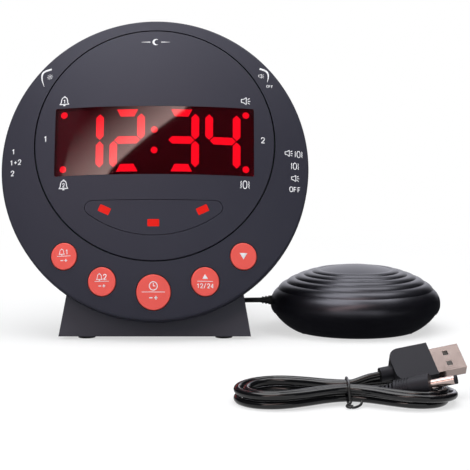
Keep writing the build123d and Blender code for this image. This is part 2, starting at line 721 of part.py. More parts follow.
def switch_sizes(name):
    """Side, middle, half travel, half length of the body and the body's outer face of a slide switch."""
    side, middle, places, pitch = SWITCHES[name]
    half_travel = (places - 1) * pitch / 2
    half_length = half_travel + LEVER_WIDTH / 2 + SWITCH_END_WALL
    inside = cover_side(BOARD_BACK - SWITCH_BODY_HEIGHT) - COVER_WALL - SWITCH_WALL_GAP
    face = math.sqrt(inside**2 - (abs(middle) + half_length) ** 2)
    return side, middle, half_travel, half_length, face


def lever_slot(name, low, high):
    """The room that a slide lever sweeps between two distances from the middle of the head."""
    side, middle, half_travel, half_length, face = switch_sizes(name)
    reach = half_travel + LEVER_WIDTH / 2 + SLIDE_GAP
    tall = LEVER_HEIGHT / 2 + SLIDE_GAP
    x = sorted((side * low, side * high))
    return block(x, (middle - reach, middle + reach), (SWITCH_Z - tall, SWITCH_Z + tall))


def switch_body(name):
    """Slide switch behind the main board, open towards the cover's side for its lever."""
    side, middle, half_travel, half_length, face = switch_sizes(name)
    x = sorted((side * face, side * (face - SWITCH_BODY_DEPTH)))
    length = (middle - half_length, middle + half_length)
    body = block(x, length, (BOARD_BACK - SWITCH_BODY_HEIGHT, BOARD_BACK))
    return body - lever_slot(name, face - LEVER_ROOT - SLIDE_GAP, face + SWITCH_BODY_DEPTH)


def switch_knob(name, rest):
    """Lever and finger knob of a slide switch, at its place of rest."""
    side, middle, half_travel, half_length, face = switch_sizes(name)
    parts = (
        (face - LEVER_ROOT, KNOB_SEAT + KNOB_GROOVE, LEVER_WIDTH / 2, LEVER_HEIGHT / 2),
        (KNOB_SEAT, KNOB_SEAT + KNOB_PROUD, KNOB_WIDTH / 2, KNOB_HEIGHT / 2),
    )
    bars = []
    for low, high, wide, tall in parts:
        x = sorted((side * low, side * high))
        bars.append(block(x, (rest - wide, rest + wide), (SWITCH_Z - tall, SWITCH_Z + tall)))
    body = bars[0] + bars[1]
    top = side * (KNOB_SEAT + KNOB_PROUD)
    for step in (-1, 0, 1):
        groove = Pos(top, rest + step * KNOB_WIDTH / 4, SWITCH_Z) * Rot(0, 0, 45)
        body -= groove * Box(KNOB_GROOVE, KNOB_GROOVE, 2 * KNOB_HEIGHT)
    return body


DOOR_PLUG_TOP = INNER_BACK + CONTACT_GAP + DOOR_TAB_THICKNESS
DOOR_TAB_REACH = DOOR_PLUG_RADIUS + DOOR_TAB
CUP_RADIUS = DOOR_TAB_REACH + 2 * DOOR_GAP
CELL_BOTTOM = DOOR_PLUG_TOP + CONTACT_GAP
CUP_FLOOR = CELL_BOTTOM + CELL_THICKNESS + CONTACT_GAP
JACKS = {"dc_jack": -JACK_X, "shaker_jack": JACK_X}
SPEAKER_SEAT = SPEAKER_RADIUS + JOINT_GAP


def battery_door():
    """Round coin-turned door with two locking tabs behind the cover's wall."""
    body = tube(DOOR_RADIUS, BACK, BACK + DOOR_THICKNESS) + tube(DOOR_PLUG_RADIUS, BACK, DOOR_PLUG_TOP)
    half = DOOR_TAB_WIDTH / 2
    tabs = (DOOR_PLUG_TOP - DOOR_TAB_THICKNESS, DOOR_PLUG_TOP)
    body += block((-DOOR_TAB_REACH, DOOR_TAB_REACH), (-half, half), tabs)
    slot = SlotOverall(COIN_SLOT_LENGTH, COIN_SLOT_WIDTH)
    return Pos(0, DOOR_Y, 0) * (body - Pos(0, 0, BACK) * extrude(slot, COIN_SLOT_DEPTH))


def door_seat():
    """The cut in the cover's back that the door fits: a recess, a round hole and the tabs' way in."""
    cut = tube(DOOR_RADIUS + DOOR_GAP, BACK, BACK + DOOR_THICKNESS + CONTACT_GAP)
    cut += tube(DOOR_PLUG_RADIUS + DOOR_GAP, BACK, INNER_BACK)
    reach = DOOR_TAB_REACH + DOOR_GAP
    half = DOOR_TAB_WIDTH / 2 + DOOR_GAP
    cut += Rot(0, 0, DOOR_UNLOCK) * block((-reach, reach), (-half, half), (BACK, INNER_BACK))
    return Pos(0, DOOR_Y, 0) * cut


def grille_slots():
    """Level slots over the speaker, each as long as the round opening is wide there."""
    opening = SPEAKER_RADIUS - GRILLE_MARGIN
    slots = []
    for row in range(GRILLE_SLOTS):
        rise = (row - (GRILLE_SLOTS - 1) / 2) * GRILLE_PITCH
        length = 2 * math.sqrt(opening**2 - rise**2) + GRILLE_SLOT
        slots.append(Pos(0, SPEAKER_Y + rise, BACK) * extrude(SlotOverall(length, GRILLE_SLOT), COVER_WALL))
    return slots


def rear_cover():
    """Deep bowl with a lip inside the rim, screw tunnels, control slots and the openings of the back."""
    body = cover_body(0, COVER_FRONT) - cover_body(COVER_WALL, COVER_FRONT)
    inside = cover_body(0, BOARD_BACK)
    body += [tube(TUNNEL_RADIUS, BACK, BOARD_BACK, x, y) & inside for x, y in BOSSES]
    ring_top = INNER_BACK + SPEAKER_FRAME
    ring = tube(SPEAKER_SEAT + SPEAKER_SEAT_WALL, INNER_BACK, ring_top, 0, SPEAKER_Y)
    body += ring - tube(SPEAKER_SEAT, INNER_BACK, ring_top, 0, SPEAKER_Y)
    cup = tube(CUP_RADIUS + CUP_WALL, INNER_BACK, CUP_FLOOR + CUP_WALL, 0, DOOR_Y)
    body += cup - tube(CUP_RADIUS, INNER_BACK, CUP_FLOOR, 0, DOOR_Y)
    for x in STAND_SCREWS:
        body += along_face(STAND_BOSS_RADIUS, STAND_WALL_Y, STAND_WALL_Y + COVER_BOSS_LENGTH, x) & inside
        body -= along_face(SCREW_RADIUS + FIT, STAND_SEAT_Y, STAND_SEAT_Y + STAND_SCREW_LENGTH + JOINT_GAP, x)
    for x, y in BOSSES:
        body -= tube(SCREW_RADIUS + SCREW_HOLE_GAP, BACK, BOARD_BACK, x, y)
        body -= tube(SCREW_HEAD_RADIUS + SCREW_HOLE_GAP, BACK, SCREW_SEAT, x, y)
    for spot in WHEEL_SPOTS.values():
        body -= tube(WHEEL_RADIUS + WHEEL_GAP, WHEEL_BOTTOM - WHEEL_GAP, WHEEL_TOP + WHEEL_GAP, *spot)
    body -= [lever_slot(name, switch_sizes(name)[-1], HEAD_RADIUS) for name in SWITCHES]
    body -= [tube(JACK_NOSE_RADIUS + DOOR_GAP, BACK, INNER_BACK, x, JACK_Y) for x in JACKS.values()]
    return body - grille_slots() - door_seat()


def speaker():
    """Loudspeaker seated in the ring behind the slots."""
    low = INNER_BACK + CONTACT_GAP
    frame = tube(SPEAKER_RADIUS, low, low + SPEAKER_FRAME, 0, SPEAKER_Y)
    basket = Pos(0, SPEAKER_Y, low + SPEAKER_FRAME) * Cone(
        SPEAKER_RADIUS, SPEAKER_MAGNET_RADIUS, SPEAKER_FRAME, align=UPWARDS
    )
    return frame + basket + tube(SPEAKER_MAGNET_RADIUS, low, low + SPEAKER_DEPTH, 0, SPEAKER_Y)


NOSE_END = BACK - JACK_NOSE


def jack(x, bore_radius, bore_depth):
    """Panel socket: a body seated inside the back and a nose through it."""
    body = tube(JACK_BODY_RADIUS, INNER_BACK, INNER_BACK + JACK_BODY, x, JACK_Y)
    body += tube(JACK_NOSE_RADIUS, NOSE_END, INNER_BACK, x, JACK_Y)
    return body - tube(bore_radius, NOSE_END, NOSE_END + bore_depth, x, JACK_Y)


def jack_nuts():
    """Ring nuts that hold the two sockets to the back."""
    ring = tube(NUT_RADIUS, BACK - NUT_HEIGHT, BACK) - tube(JACK_NOSE_RADIUS + FIT, BACK - NUT_HEIGHT, BACK)
    return [Pos(x, JACK_Y, 0) * ring for x in JACKS.values()]


# Stand
STAND_CUT = -(RIM_DEPTH + STAND_BEHIND_RIM)
STAND_WALL_Y = -math.sqrt(cover_side(STAND_SCREW_Z) ** 2 - STAND_SCREW_X**2)
STAND_SEAT_Y = STAND_WALL_Y - SADDLE_GAP - STAND_WALL - STAND_BOSS_STEP
STAND_SCREW_LENGTH = STAND_WALL_Y - STAND_SEAT_Y + SCREW_BITE
STAND_SCREWS = (-STAND_SCREW_X, STAND_SCREW_X)


def along_face(radius, low, high, x):
    """A round bar up along the face, at the stand screws' distance behind the rim."""
    return Pos(x, (low + high) / 2, STAND_SCREW_Z) * Rot(90, 0, 0) * Cylinder(radius, high - low)


def stand_front(z, inset):
    """Y of the stand's front, which runs parallel to the face, at this height."""
    depth = STAND_CUT - inset
    up = (z - HEAD_CENTRE_Z - depth * math.sin(LEAN)) / math.cos(LEAN)
    return HEAD_CENTRE_Y + up * math.sin(LEAN) - depth * math.cos(LEAN)


STAND_FRONT_Y = stand_front(STAND_UNDER, 0)


def stand_plan(z, inset):
    """The stand's plan at a height: widest in front, narrowing to the back and to the top."""
    lean_in = (z - STAND_UNDER) * STAND_SIDE_SLOPE + inset
    front = STAND_FRONT_WIDTH / 2 - lean_in
    rear = STAND_REAR_WIDTH / 2 - lean_in
    corners = [(-front, STAND_FRONT_Y), (front, STAND_FRONT_Y), (rear, STAND_REAR_Y), (-rear, STAND_REAR_Y)]
    return Pos(0, 0, z) * make_face(Polyline(*corners, close=True))


def stand_block(inset):
    """The stand as a solid wedge, drawn in from its outside by this much."""
    sides = loft([stand_plan(STAND_UNDER, inset), stand_plan(STAND_TOP, inset)])
    rear = STAND_REAR_Y - inset
    profile = [
        (stand_front(STAND_UNDER, inset), STAND_UNDER),
        (stand_front(STAND_TOP - inset, inset), STAND_TOP - inset),
        (rear, STAND_REAR_HEIGHT - inset),
        (rear, STAND_UNDER),
    ]
    wedge = extrude(Plane.YZ * make_face(Polyline(*profile, close=True)), STAND_FRONT_WIDTH, both=True)
    return sides & wedge


def stand():
    """Hollow wedge with a saddle that the round cover lies in."""
    saddle = HEAD * cover_body(-SADDLE_GAP, COVER_FRONT)
    under_saddle = HEAD * cover_body(-SADDLE_GAP - STAND_WALL, COVER_FRONT)
    body = stand_block(0) - (stand_block(STAND_WALL) - under_saddle)
    body += [HEAD * along_face(STAND_BOSS_RADIUS, STAND_SEAT_Y, STAND_WALL_Y, x) for x in STAND_SCREWS]
    body -= saddle
    hole = SCREW_RADIUS + SCREW_HOLE_GAP
    return body - [HEAD * along_face(hole, STAND_SEAT_Y, STAND_WALL_Y + COVER_WALL, x) for x in STAND_SCREWS]


FOOT_X_FRONT = STAND_FRONT_WIDTH / 2 - FOOT_INSET_FRONT
FOOT_X_REAR = STAND_REAR_WIDTH / 2 - FOOT_INSET_REAR
FOOT_SPOTS = [(side * FOOT_X_FRONT, STAND_FRONT_Y + FOOT_SETBACK) for side in (-1, 1)]
FOOT_SPOTS += [(side * FOOT_X_REAR, STAND_REAR_Y - FOOT_SETBACK) for side in (-1, 1)]


def base_plate():
    """Plate that closes the stand from below, with a round recess for each foot."""
    wide = (-STAND_FRONT_WIDTH, STAND_FRONT_WIDTH)
    floor = block(wide, wide, (STAND_UNDER, STAND_UNDER + BASE_THICKNESS))
    body = stand_block(STAND_WALL + JOINT_GAP) & floor
    recess = (STAND_UNDER, STAND_UNDER + FOOT_RECESS)
    return body - [tube(FOOT_RADIUS + FIT, *recess, *spot) for spot in FOOT_SPOTS]


def rubber_feet():
    """Four round pads."""
    return [tube(FOOT_RADIUS, 0, STAND_UNDER + FOOT_RECESS, *spot) for spot in FOOT_SPOTS]


# Shaker pad, drawn about its own upright axis
SHAKER = Pos(SHAKER_X, SHAKER_Y, 0)
SHAKER_BASE_RADIUS = SHAKER_RADIUS - SHAKER_UNDERCUT
SHAKER_SCREW_CIRCLE = SHAKER_BASE_RADIUS - SHAKER_SCREW_MARGIN
SHAKER_SCREWS = [around(SHAKER_SCREW_CIRCLE, angle) for angle in (90, 210, 330)]
SHAKER_SEAT = SHAKER_HEAD_RECESS + SHAKER_HEAD
SHAKER_PAD_TOP = SHAKER_SEAT + SHAKER_WALL
ROOM_RADIUS = SHAKER_RADIUS - SHAKER_WALL
ROOM_RISE = SHAKER_HEIGHT - SHAKER_WALL - 2 * RIPPLE_SWELL - SHAKER_WAIST
CRADLE_X = MOTOR_FRONT_X - MOTOR_LENGTH / 2
BOOT_START = SHAKER_RADIUS + JOINT_GAP
BOOT_END = BOOT_START + BOOT_LENGTH
WEIGHT_START = MOTOR_FRONT_X + MOTOR_NECK + WEIGHT_GAP
WEIGHT_END = WEIGHT_START + WEIGHT_LENGTH


def cradle_x(width):
    """The stretch about the middle of the motor's length that is this wide."""
    return CRADLE_X - width / 2, CRADLE_X + width / 2


def pad_height(radius):
    """Height of the grooves of the pad's oval top at this distance from its axis."""
    rise = SHAKER_HEIGHT - RIPPLE_SWELL - SHAKER_WAIST
    return SHAKER_WAIST + rise * math.sqrt(1 - (radius / SHAKER_RADIUS) ** 2)


def pad_top():
    """Profile of the rippled top, from the waist to the axis: arcs from groove to groove, and a smooth cap."""
    grooves = [SHAKER_RADIUS - RIPPLE_BORDER - k * RIPPLE_PITCH for k in range(RIPPLES)]
    radii = [SHAKER_RADIUS, *grooves]
    arcs = []
    for outer, inner in zip(radii, radii[1:]):
        angles = [math.asin(radius / SHAKER_RADIUS) for radius in (outer, inner)]
        middle = SHAKER_RADIUS * math.sin(sum(angles) / 2)
        ends = [(radius, pad_height(radius)) for radius in (outer, inner)]
        arcs.append(ThreePointArc(ends[0], (middle, pad_height(middle) + RIPPLE_SWELL), ends[1]))
    cap = TangentArc((0, SHAKER_HEIGHT), ends[1], tangent=(1, 0))
    return [*arcs, cap]


def turned(edges):
    """The solid that a closed outline of radius and height sweeps about the upright axis."""
    return revolve(Plane.XZ * make_face(edges), Axis.Z)


def pad_room():
    """The space inside the pad's upper shell."""
    arc = EllipticalCenterArc((0, SHAKER_WAIST), ROOM_RADIUS, ROOM_RISE, start_angle=0, arc_size=90)
    top = (0, SHAKER_WAIST + ROOM_RISE)
    sides = Polyline(top, (0, SHAKER_SEAM), (ROOM_RADIUS, SHAKER_SEAM), (ROOM_RADIUS, SHAKER_WAIST))
    return turned([arc, *sides.edges()])


def pad_dome():
    """The outside of the pad's upper shell, filled: the rippled top and a tuck from the waist to the seam."""
    waist = (SHAKER_RADIUS, SHAKER_WAIST)
    tuck = TangentArc(waist, (SHAKER_RADIUS - SHAKER_TUCK, SHAKER_SEAM), tangent=(0, -1))
    sides = Polyline((0, SHAKER_HEIGHT), (0, SHAKER_SEAM), (SHAKER_RADIUS - SHAKER_TUCK, SHAKER_SEAM))
    return turned([*pad_top(), tuck, *sides.edges()])


def shaker_upper():
    """Domed shell with ring ripples, screw bosses, a rib over the motor and the boot's hole."""
    filled = pad_dome()
    body = filled - pad_room()
    filled += tube(ROOM_RADIUS, 0, SHAKER_SEAM)
    rib = block(cradle_x(CRADLE_WIDTH), (-MOTOR_RADIUS, MOTOR_RADIUS), (MOTOR_Z + JOINT_GAP, SHAKER_HEIGHT))
    body += (rib & filled) - across(MOTOR_RADIUS + FIT, *cradle_x(MOTOR_LENGTH), 0, MOTOR_Z)
    for x, y in SHAKER_SCREWS:
        body += tube(SHAKER_BOSS_RADIUS, SHAKER_PAD_TOP + JOINT_GAP, SHAKER_HEIGHT, x, y) & filled
        body -= tube(SHAKER_SCREW_RADIUS + FIT, SHAKER_PAD_TOP, SHAKER_SEAT + SHAKER_SCREW + JOINT_GAP, x, y)
    return body - across(BOOT_RADIUS + FIT, -BOOT_START, -SHAKER_RADIUS / 2, 0, BOOT_Z)


def pad_bottom(inset):
    """Profile of the pad's lower bowl, drawn in from its outside by this much."""
    rim = (SHAKER_RADIUS - SHAKER_TUCK - SHAKER_STEP - inset, SHAKER_SEAM)
    foot = (SHAKER_BASE_RADIUS - inset / 2, inset)
    swell = SHAKER_BELLY / math.dist(rim, foot)
    out = (rim[0] + foot[0]) / 2 + (rim[1] - foot[1]) * swell
    down = (rim[1] + foot[1]) / 2 - (rim[0] - foot[0]) * swell
    sides = Polyline(foot, (0, inset), (0, SHAKER_SEAM), rim)
    return turned([ThreePointArc(rim, (out, down), foot), *sides.edges()])


def shaker_lower():
    """Bowl with a tongue inside the upper shell, screw pads and the motor's cradle."""
    tongue = SHAKER_RADIUS - SHAKER_WALL - GLUE_GAP
    root = SHAKER_SEAM - SHAKER_STEP
    body = pad_bottom(0) - pad_bottom(SHAKER_WALL)
    body += tube(tongue, root, SHAKER_WAIST) - tube(tongue - SHAKER_WALL / 2, root, SHAKER_WAIST)
    body -= across(BOOT_COLLAR_RADIUS + JOINT_GAP, -BOOT_START, -SHAKER_RADIUS / 2, 0, BOOT_Z)
    side = MOTOR_RADIUS + CRADLE_SIDE
    body += block(cradle_x(CRADLE_WIDTH), (-side, side), (SHAKER_WALL, MOTOR_Z))
    body -= across(MOTOR_RADIUS + FIT, *cradle_x(MOTOR_LENGTH), 0, MOTOR_Z)
    for x, y in SHAKER_SCREWS:
        body += tube(SHAKER_BOSS_RADIUS, 0, SHAKER_PAD_TOP, x, y)
        body -= tube(SHAKER_SCREW_RADIUS + SCREW_HOLE_GAP, 0, SHAKER_PAD_TOP, x, y)
        body -= tube(SHAKER_HEAD_RADIUS + SCREW_HOLE_GAP, 0, SHAKER_SEAT, x, y)
    return body


def motor():
    """Motor can with a bearing neck and the shaft's bore."""
    body = across(MOTOR_RADIUS, MOTOR_FRONT_X - MOTOR_LENGTH, MOTOR_FRONT_X, 0, MOTOR_Z)
    body = fillet(body.edges().filter_by(GeomType.CIRCLE), MOTOR_SHAFT_RADIUS)
    body += across(MOTOR_NECK_RADIUS, MOTOR_FRONT_X - MOTOR_NECK, MOTOR_FRONT_X + MOTOR_NECK, 0, MOTOR_Z)
    bore = (MOTOR_FRONT_X - MOTOR_SHAFT, MOTOR_FRONT_X + MOTOR_NECK)
    return body - across(MOTOR_SHAFT_RADIUS + FIT, *bore, 0, MOTOR_Z)


def motor_shaft():
    """Steel shaft from inside the motor to the end of the weight."""
    return across(MOTOR_SHAFT_RADIUS, MOTOR_FRONT_X - MOTOR_SHAFT + JOINT_GAP, WEIGHT_END, 0, MOTOR_Z)


def eccentric_weight():
    """Half-round weight hanging from a hub on the shaft."""
    length = (WEIGHT_START, WEIGHT_END)
    above = block(length, (-WEIGHT_RADIUS, WEIGHT_RADIUS), (MOTOR_Z, MOTOR_Z + WEIGHT_RADIUS))
    body = across(WEIGHT_RADIUS, *length, 0, MOTOR_Z) - above
    body += across(WEIGHT_HUB_RADIUS, *length, 0, MOTOR_Z)
    return body - across(MOTOR_SHAFT_RADIUS + FIT, *length, 0, MOTOR_Z)


def shaker_boot():
    """Ribbed strain relief: a collar inside the shell, a neck through it and a tapering tail."""
    rise = (BOOT_Z + BOOT_COLLAR_RADIUS - SHAKER_WAIST) / ROOM_RISE
    collar = math.sqrt(ROOM_RADIUS**2 * (1 - rise**2) - BOOT_COLLAR_RADIUS**2) - GLUE_GAP
    inner = collar - BOOT_COLLAR
    outline = [(inner, 0), (inner, BOOT_COLLAR_RADIUS), (collar, BOOT_COLLAR_RADIUS), (collar, BOOT_RADIUS)]
    step = BOOT_LENGTH / (2 * BOOT_RIBS)
    for rib in range(BOOT_RIBS):
        start = BOOT_START + 2 * rib * step
        radius = BOOT_RADIUS + (BOOT_TIP_RADIUS - BOOT_RADIUS) * rib / (BOOT_RIBS - 1)
        core = radius - BOOT_GROOVE
        outline += [(start, radius), (start + step, radius), (start + step, core), (start + 2 * step, core)]
    outline.append((BOOT_END, 0))
    body = revolve(make_face(Polyline(*outline, close=True)), Axis.X)
    return Pos(0, 0, BOOT_Z) * Rot(0, 0, 180) * body


# Cords
def bent_tube(name, points):
    """A stretch of the shaker's cord: straight runs joined by arcs that touch them."""
    points = [Vector(*point) for point in points]
    radii = []
    for before, corner, after in zip(points, points[1:], points[2:]):
        turn = math.radians((corner - before).get_angle(after - corner))
        run = min((corner - before).length, (after - corner).length)
        radii.append(BEND_SHARE * run / math.tan(turn / 2))
    path = FilletPolyline(*points, radius=radii)
    print(name, "bend radii", [round(radius, 1) for radius in radii])
    return swept(name, path, CORD_RADIUS, CORD_SIDES)


def swept(name, path, radius, sides):
    """A tube of this section along a path, with its volume compared with section times length."""
    section = Plane(path @ 0, z_dir=path % 0) * RegularPolygon(radius, sides)
    body = sweep(section, path=path)
    share = body.volume / (section.area * path.length)
    print(name, "length", round(path.length, 1), "volume share", round(share, 4))
    return body


def joined_arcs(points, headings):
    """Two arcs from each point to the next, leaving and arriving along the headings there."""
    edges = []
    for here, out, there, arrive in zip(points, headings, points[1:], headings[1:]):
        chord = there - here
        along = chord.dot(out + arrive)
        spread = 2 * (1 - out.dot(arrive))
        reach = (math.sqrt(along**2 + spread * chord.dot(chord)) - along) / spread
        meet = (here + out * reach + there - arrive * reach) / 2
        first = TangentArc(here, meet, tangent=out)
        edges += [first, TangentArc(meet, there, tangent=first % 1)]
    return edges


def least_gap(name, edges, radius, apart):
    """Prints the least gap between stretches of a tube that lie at least this far apart along it."""
    spots = []
    travel = 0.0
    for edge in edges:
        for step in range(GAP_SAMPLES):
            share = step / GAP_SAMPLES
            spots.append((travel + edge.length * share, tuple(edge @ share)))
        travel += edge.length
    gaps = [math.dist(a, b) for i, (u, a) in enumerate(spots) for v, b in spots[:i] if u - v > apart]
    print(name, "least gap to itself", round(min(gaps) - 2 * radius, 2))


def wound(name, formula, turns, steps, radius, sides, start=(), finish=()):
    """One unbroken tube along a winding formula, with straight ends; start and finish hold (point, heading)."""
    marks = [turns * step / steps for step in range(steps + 1)]
    points = [formula(mark) for mark in marks]
    headings = [(formula(mark + NUDGE) - formula(mark - NUDGE)).normalized() for mark in marks]
    for point, heading in start:
        points.insert(0, point)
        headings.insert(0, heading)
    for point, heading in finish:
        points.append(point)
        headings.append(heading)
    edges = joined_arcs(points, headings)
    first = Line(points[0] - headings[0] * 2 * radius, points[0])
    last = Line(points[-1], points[-1] + headings[-1] * 2 * radius)
    edges = [first, *edges, last]
    least_gap(name, edges, radius, GAP_APART * radius)
    return swept(name, Wire(edges), radius, sides)


def ease(share):
    """A smooth rise from 0 to 1 as the share goes from 0 to 1."""
    share = min(max(share, 0.0), 1.0)
    return share * share * (3 - 2 * share)


COIL_PITCH = 2 * CORD_RADIUS + COIL_GAP
LAYER_TURNS = COIL_TURNS / COIL_LAYERS
COIL_OUTER = COIL_MIDDLE_RADIUS + LAYER_TURNS * COIL_PITCH / 2
COIL_INNER = COIL_OUTER - LAYER_TURNS * COIL_PITCH
COIL_FLOOR = CORD_RADIUS + COIL_TIE_THICKNESS + TIE_GAP
HALF_TURN = 0.5


def coil_point(turn):
    """The coil spirals in and out at a steady rate and climbs a layer in the half turn where it reverses."""
    layer = math.floor(turn / LAYER_TURNS)
    share = turn - layer * LAYER_TURNS
    inward = LAYER_TURNS - share if layer % 2 else share
    radius = COIL_OUTER - COIL_PITCH * inward
    climbs = sum(ease((turn - k * LAYER_TURNS) / HALF_TURN + HALF_TURN) for k in range(1, COIL_LAYERS))
    x, y = around(radius, -90 - 360 * turn)
    return Vector(COIL_X + x, COIL_Y + y, COIL_FLOOR + COIL_PITCH * climbs)


COIL_START = (COIL_X + 2 * CORD_RADIUS, COIL_Y - COIL_OUTER, COIL_FLOOR)
COIL_TOP = COIL_FLOOR + (COIL_LAYERS - 1) * COIL_PITCH
COIL_END = (COIL_X + 2 * CORD_RADIUS, COIL_Y + COIL_OUTER, COIL_TOP)


def shaker_cord():
    """From the pad's boot past the stand and down to the coil."""
    boot = (SHAKER_X - BOOT_END, SHAKER_Y, BOOT_Z)
    run_in = (COIL_START[0] + CORD_RUN_IN, COIL_START[1], COIL_START[2])
    return bent_tube("shaker_cord", [boot, *CORD_OUT, run_in, COIL_START])


PLUG_FRONT = NOSE_END - PLUG_SEAT_GAP
PLUG_TAIL = PLUG_FRONT - PLUG_GRIP - PLUG_NECK


def shaker_cord_tail():
    """From the top of the coil up to the plug in the back of the clock."""
    run_out = (COIL_END[0] + CORD_RUN_IN, COIL_END[1], COIL_END[2])
    tail = (HEAD * Pos(JACK_X, JACK_Y, PLUG_TAIL)).position
    leave = (HEAD * Pos(JACK_X, JACK_Y, PLUG_TAIL - PLUG_LEAVE)).position
    return bent_tube("shaker_cord_tail", [COIL_END, run_out, *CORD_BACK, tuple(leave), tuple(tail)])


def shaker_cord_coil():
    """The rest of the shaker's cord, put away behind the clock."""
    steps = round(COIL_TURNS * COIL_ARC_PAIRS)
    return wound("shaker_cord_coil", coil_point, COIL_TURNS, steps, CORD_RADIUS, CORD_SIDES)


def band(width, deep, high, thickness):
    """An upright square band about the x axis from its inner (low, high) pairs."""
    outer = [(low - thickness, top + thickness) for low, top in (deep, high)]
    half = (-width / 2, width / 2)
    return block(half, *outer) - block(half, deep, high)


def coil_tie():
    """Band about the coil's turns, on the side towards the shaker."""
    inside = (COIL_INNER - CORD_RADIUS - 2 * TIE_GAP, COIL_OUTER + CORD_RADIUS + TIE_GAP)
    height = (COIL_TIE_THICKNESS, COIL_TOP + CORD_RADIUS + TIE_GAP)
    return Pos(COIL_X, COIL_Y, 0) * Rot(0, 0, -90) * band(COIL_TIE_WIDTH, inside, height, COIL_TIE_THICKNESS)


def shaker_plug_grip():
    """Moulded grip of the plug, narrowing to the cord."""
    low = PLUG_FRONT - PLUG_GRIP
    neck = Pos(0, 0, PLUG_TAIL) * Cone(
        PLUG_NECK_RADIUS, PLUG_GRIP_RADIUS - GLUE_GAP, PLUG_NECK, align=UPWARDS
    )
    grip = tube(PLUG_GRIP_RADIUS, low, PLUG_FRONT)
    grip = fillet(grip.edges().filter_by(GeomType.CIRCLE).sort_by(Axis.Z)[-1], PLUG_SEAT_GAP)
    return Pos(JACK_X, JACK_Y, 0) * (grip + neck)


# Power lead
HANK = Pos(HANK_X, HANK_Y, 0)
HANK_RISE = 2 * LEAD_RADIUS + HANK_LAYER_GAP
HANK_LIFT = HANK_TIE_THICKNESS + TIE_GAP


def hank_outline(degrees):
    """The hank's innermost loop: two round lobes drawn in to a waist."""
    c, s = around(1, degrees)
    swell = HANK_BELLY * c * c * (1 - c * c / 2)
    return Vector(HANK_LOBE * (1 + HANK_RIGHT_SHARE * c) * c, s * (HANK_WAIST + swell), 0)


def hank_point(turn):
    """Loops a step outside one another, out along the floor and back in on top of those."""
    degrees = -90 - 360 * turn
    heading = hank_outline(degrees - NUDGE) - hank_outline(degrees + NUDGE)
    outward = heading.cross(Vector(0, 0, -1)).normalized()
    middle = HANK_TURNS / 2
    steps = middle - abs(turn - middle)
    climb = ease((turn - middle) / HALF_TURN + HALF_TURN)
    lift = HANK_LIFT * math.sin(math.radians(degrees)) ** 2
    spot = hank_outline(degrees) + outward * (HANK_STEP * steps)
    return Vector(HANK_X + spot.X, HANK_Y + spot.Y, LEAD_RADIUS + lift + HANK_RISE * climb)


def aimed(start, yaw, pitch, roll=0.0):
    """A place beside the hank's tie, looking along its own x axis."""
    return HANK * Pos(*start) * Rot(0, 0, yaw) * Rot(0, -pitch, 0) * Rot(roll, 0, 0)


USB = aimed(USB_START, USB_YAW, USB_PITCH, USB_ROLL)
BARREL_PLACE = aimed(BARREL_START, BARREL_YAW, BARREL_PITCH)


def power_lead():
    """From the barrel plug through the hank's loops to the USB plug."""
    ends = []
    for place, way in ((BARREL_PLACE, -1), (USB, 1)):
        meet = (place * Pos(-2 * LEAD_RADIUS, 0, 0)).position
        ends.append([(meet, (place.position - meet).normalized() * way)])
    steps = round(HANK_TURNS * HANK_ARC_PAIRS)
    return wound("power_lead", hank_point, HANK_TURNS, steps, LEAD_RADIUS, LEAD_SIDES, *ends)


def hank_tie():
    """Twisted band about the waist, with its ends turned out towards the front."""
    side = HANK_WAIST + HANK_STEP * (HANK_TURNS - HALF_TURN) / 2 + LEAD_RADIUS + 2 * TIE_GAP
    top = HANK_LIFT + HANK_RISE + 2 * LEAD_RADIUS + TIE_GAP
    body = band(HANK_TIE_WIDTH, (-side, side), (HANK_TIE_THICKNESS, top), HANK_TIE_THICKNESS)
    tail = (-side - HANK_TIE_TAIL, -side)
    twist = block((0, HANK_TIE_THICKNESS), tail, (HANK_TIE_THICKNESS, 2 * HANK_TIE_THICKNESS))
    return HANK * (body + twist)


USB_FACE = USB_SLEEVE + USB_GRIP


def usb_overmould():
    """Flat moulded grip with rounded rear corners and a round sleeve for the lead."""
    half = USB_GRIP_WIDTH / 2
    outline = [(USB_SLEEVE, -half), (USB_FACE, -half), (USB_FACE, half), (USB_SLEEVE, half)]
    plan = make_face(Polyline(*outline, close=True))
    plan = fillet(plan.vertices().group_by(Axis.X)[0], USB_GRIP_CORNER)
    grip = extrude(plan, USB_GRIP_HEIGHT / 2, both=True)
    return USB * (grip + across(USB_SLEEVE_RADIUS, 0, USB_SLEEVE, 0, 0))


def usb_shell():
    """Folded metal mouth with two square holes in each broad face."""
    length = (USB_FACE, USB_FACE + USB_SHELL)
    wide = USB_SHELL_WIDTH / 2
    high = USB_SHELL_HEIGHT / 2
    wall = USB_SHELL_WALL
    body = block(length, (-wide, wide), (-high, high))
    body -= block(length, (wall - wide, wide - wall), (wall - high, high - wall))
    for side in (-1, 1):
        hole = Pos(USB_FACE + USB_HOLE_X, side * USB_HOLE_Y, 0)
        body -= hole * Box(USB_HOLE, USB_HOLE, 2 * USB_SHELL_HEIGHT)
    return USB * body


def usb_tongue():
    """Contact tongue in the lower half of the mouth."""
    wide = USB_SHELL_WIDTH / 2 - USB_SHELL_WALL - FIT
    low = USB_SHELL_WALL + FIT - USB_SHELL_HEIGHT / 2
    return USB * block((USB_FACE, USB_FACE + USB_TONGUE), (-wide, wide), (low, low + USB_TONGUE_HEIGHT))


BARREL_FACE = RELIEF + BARREL_GRIP


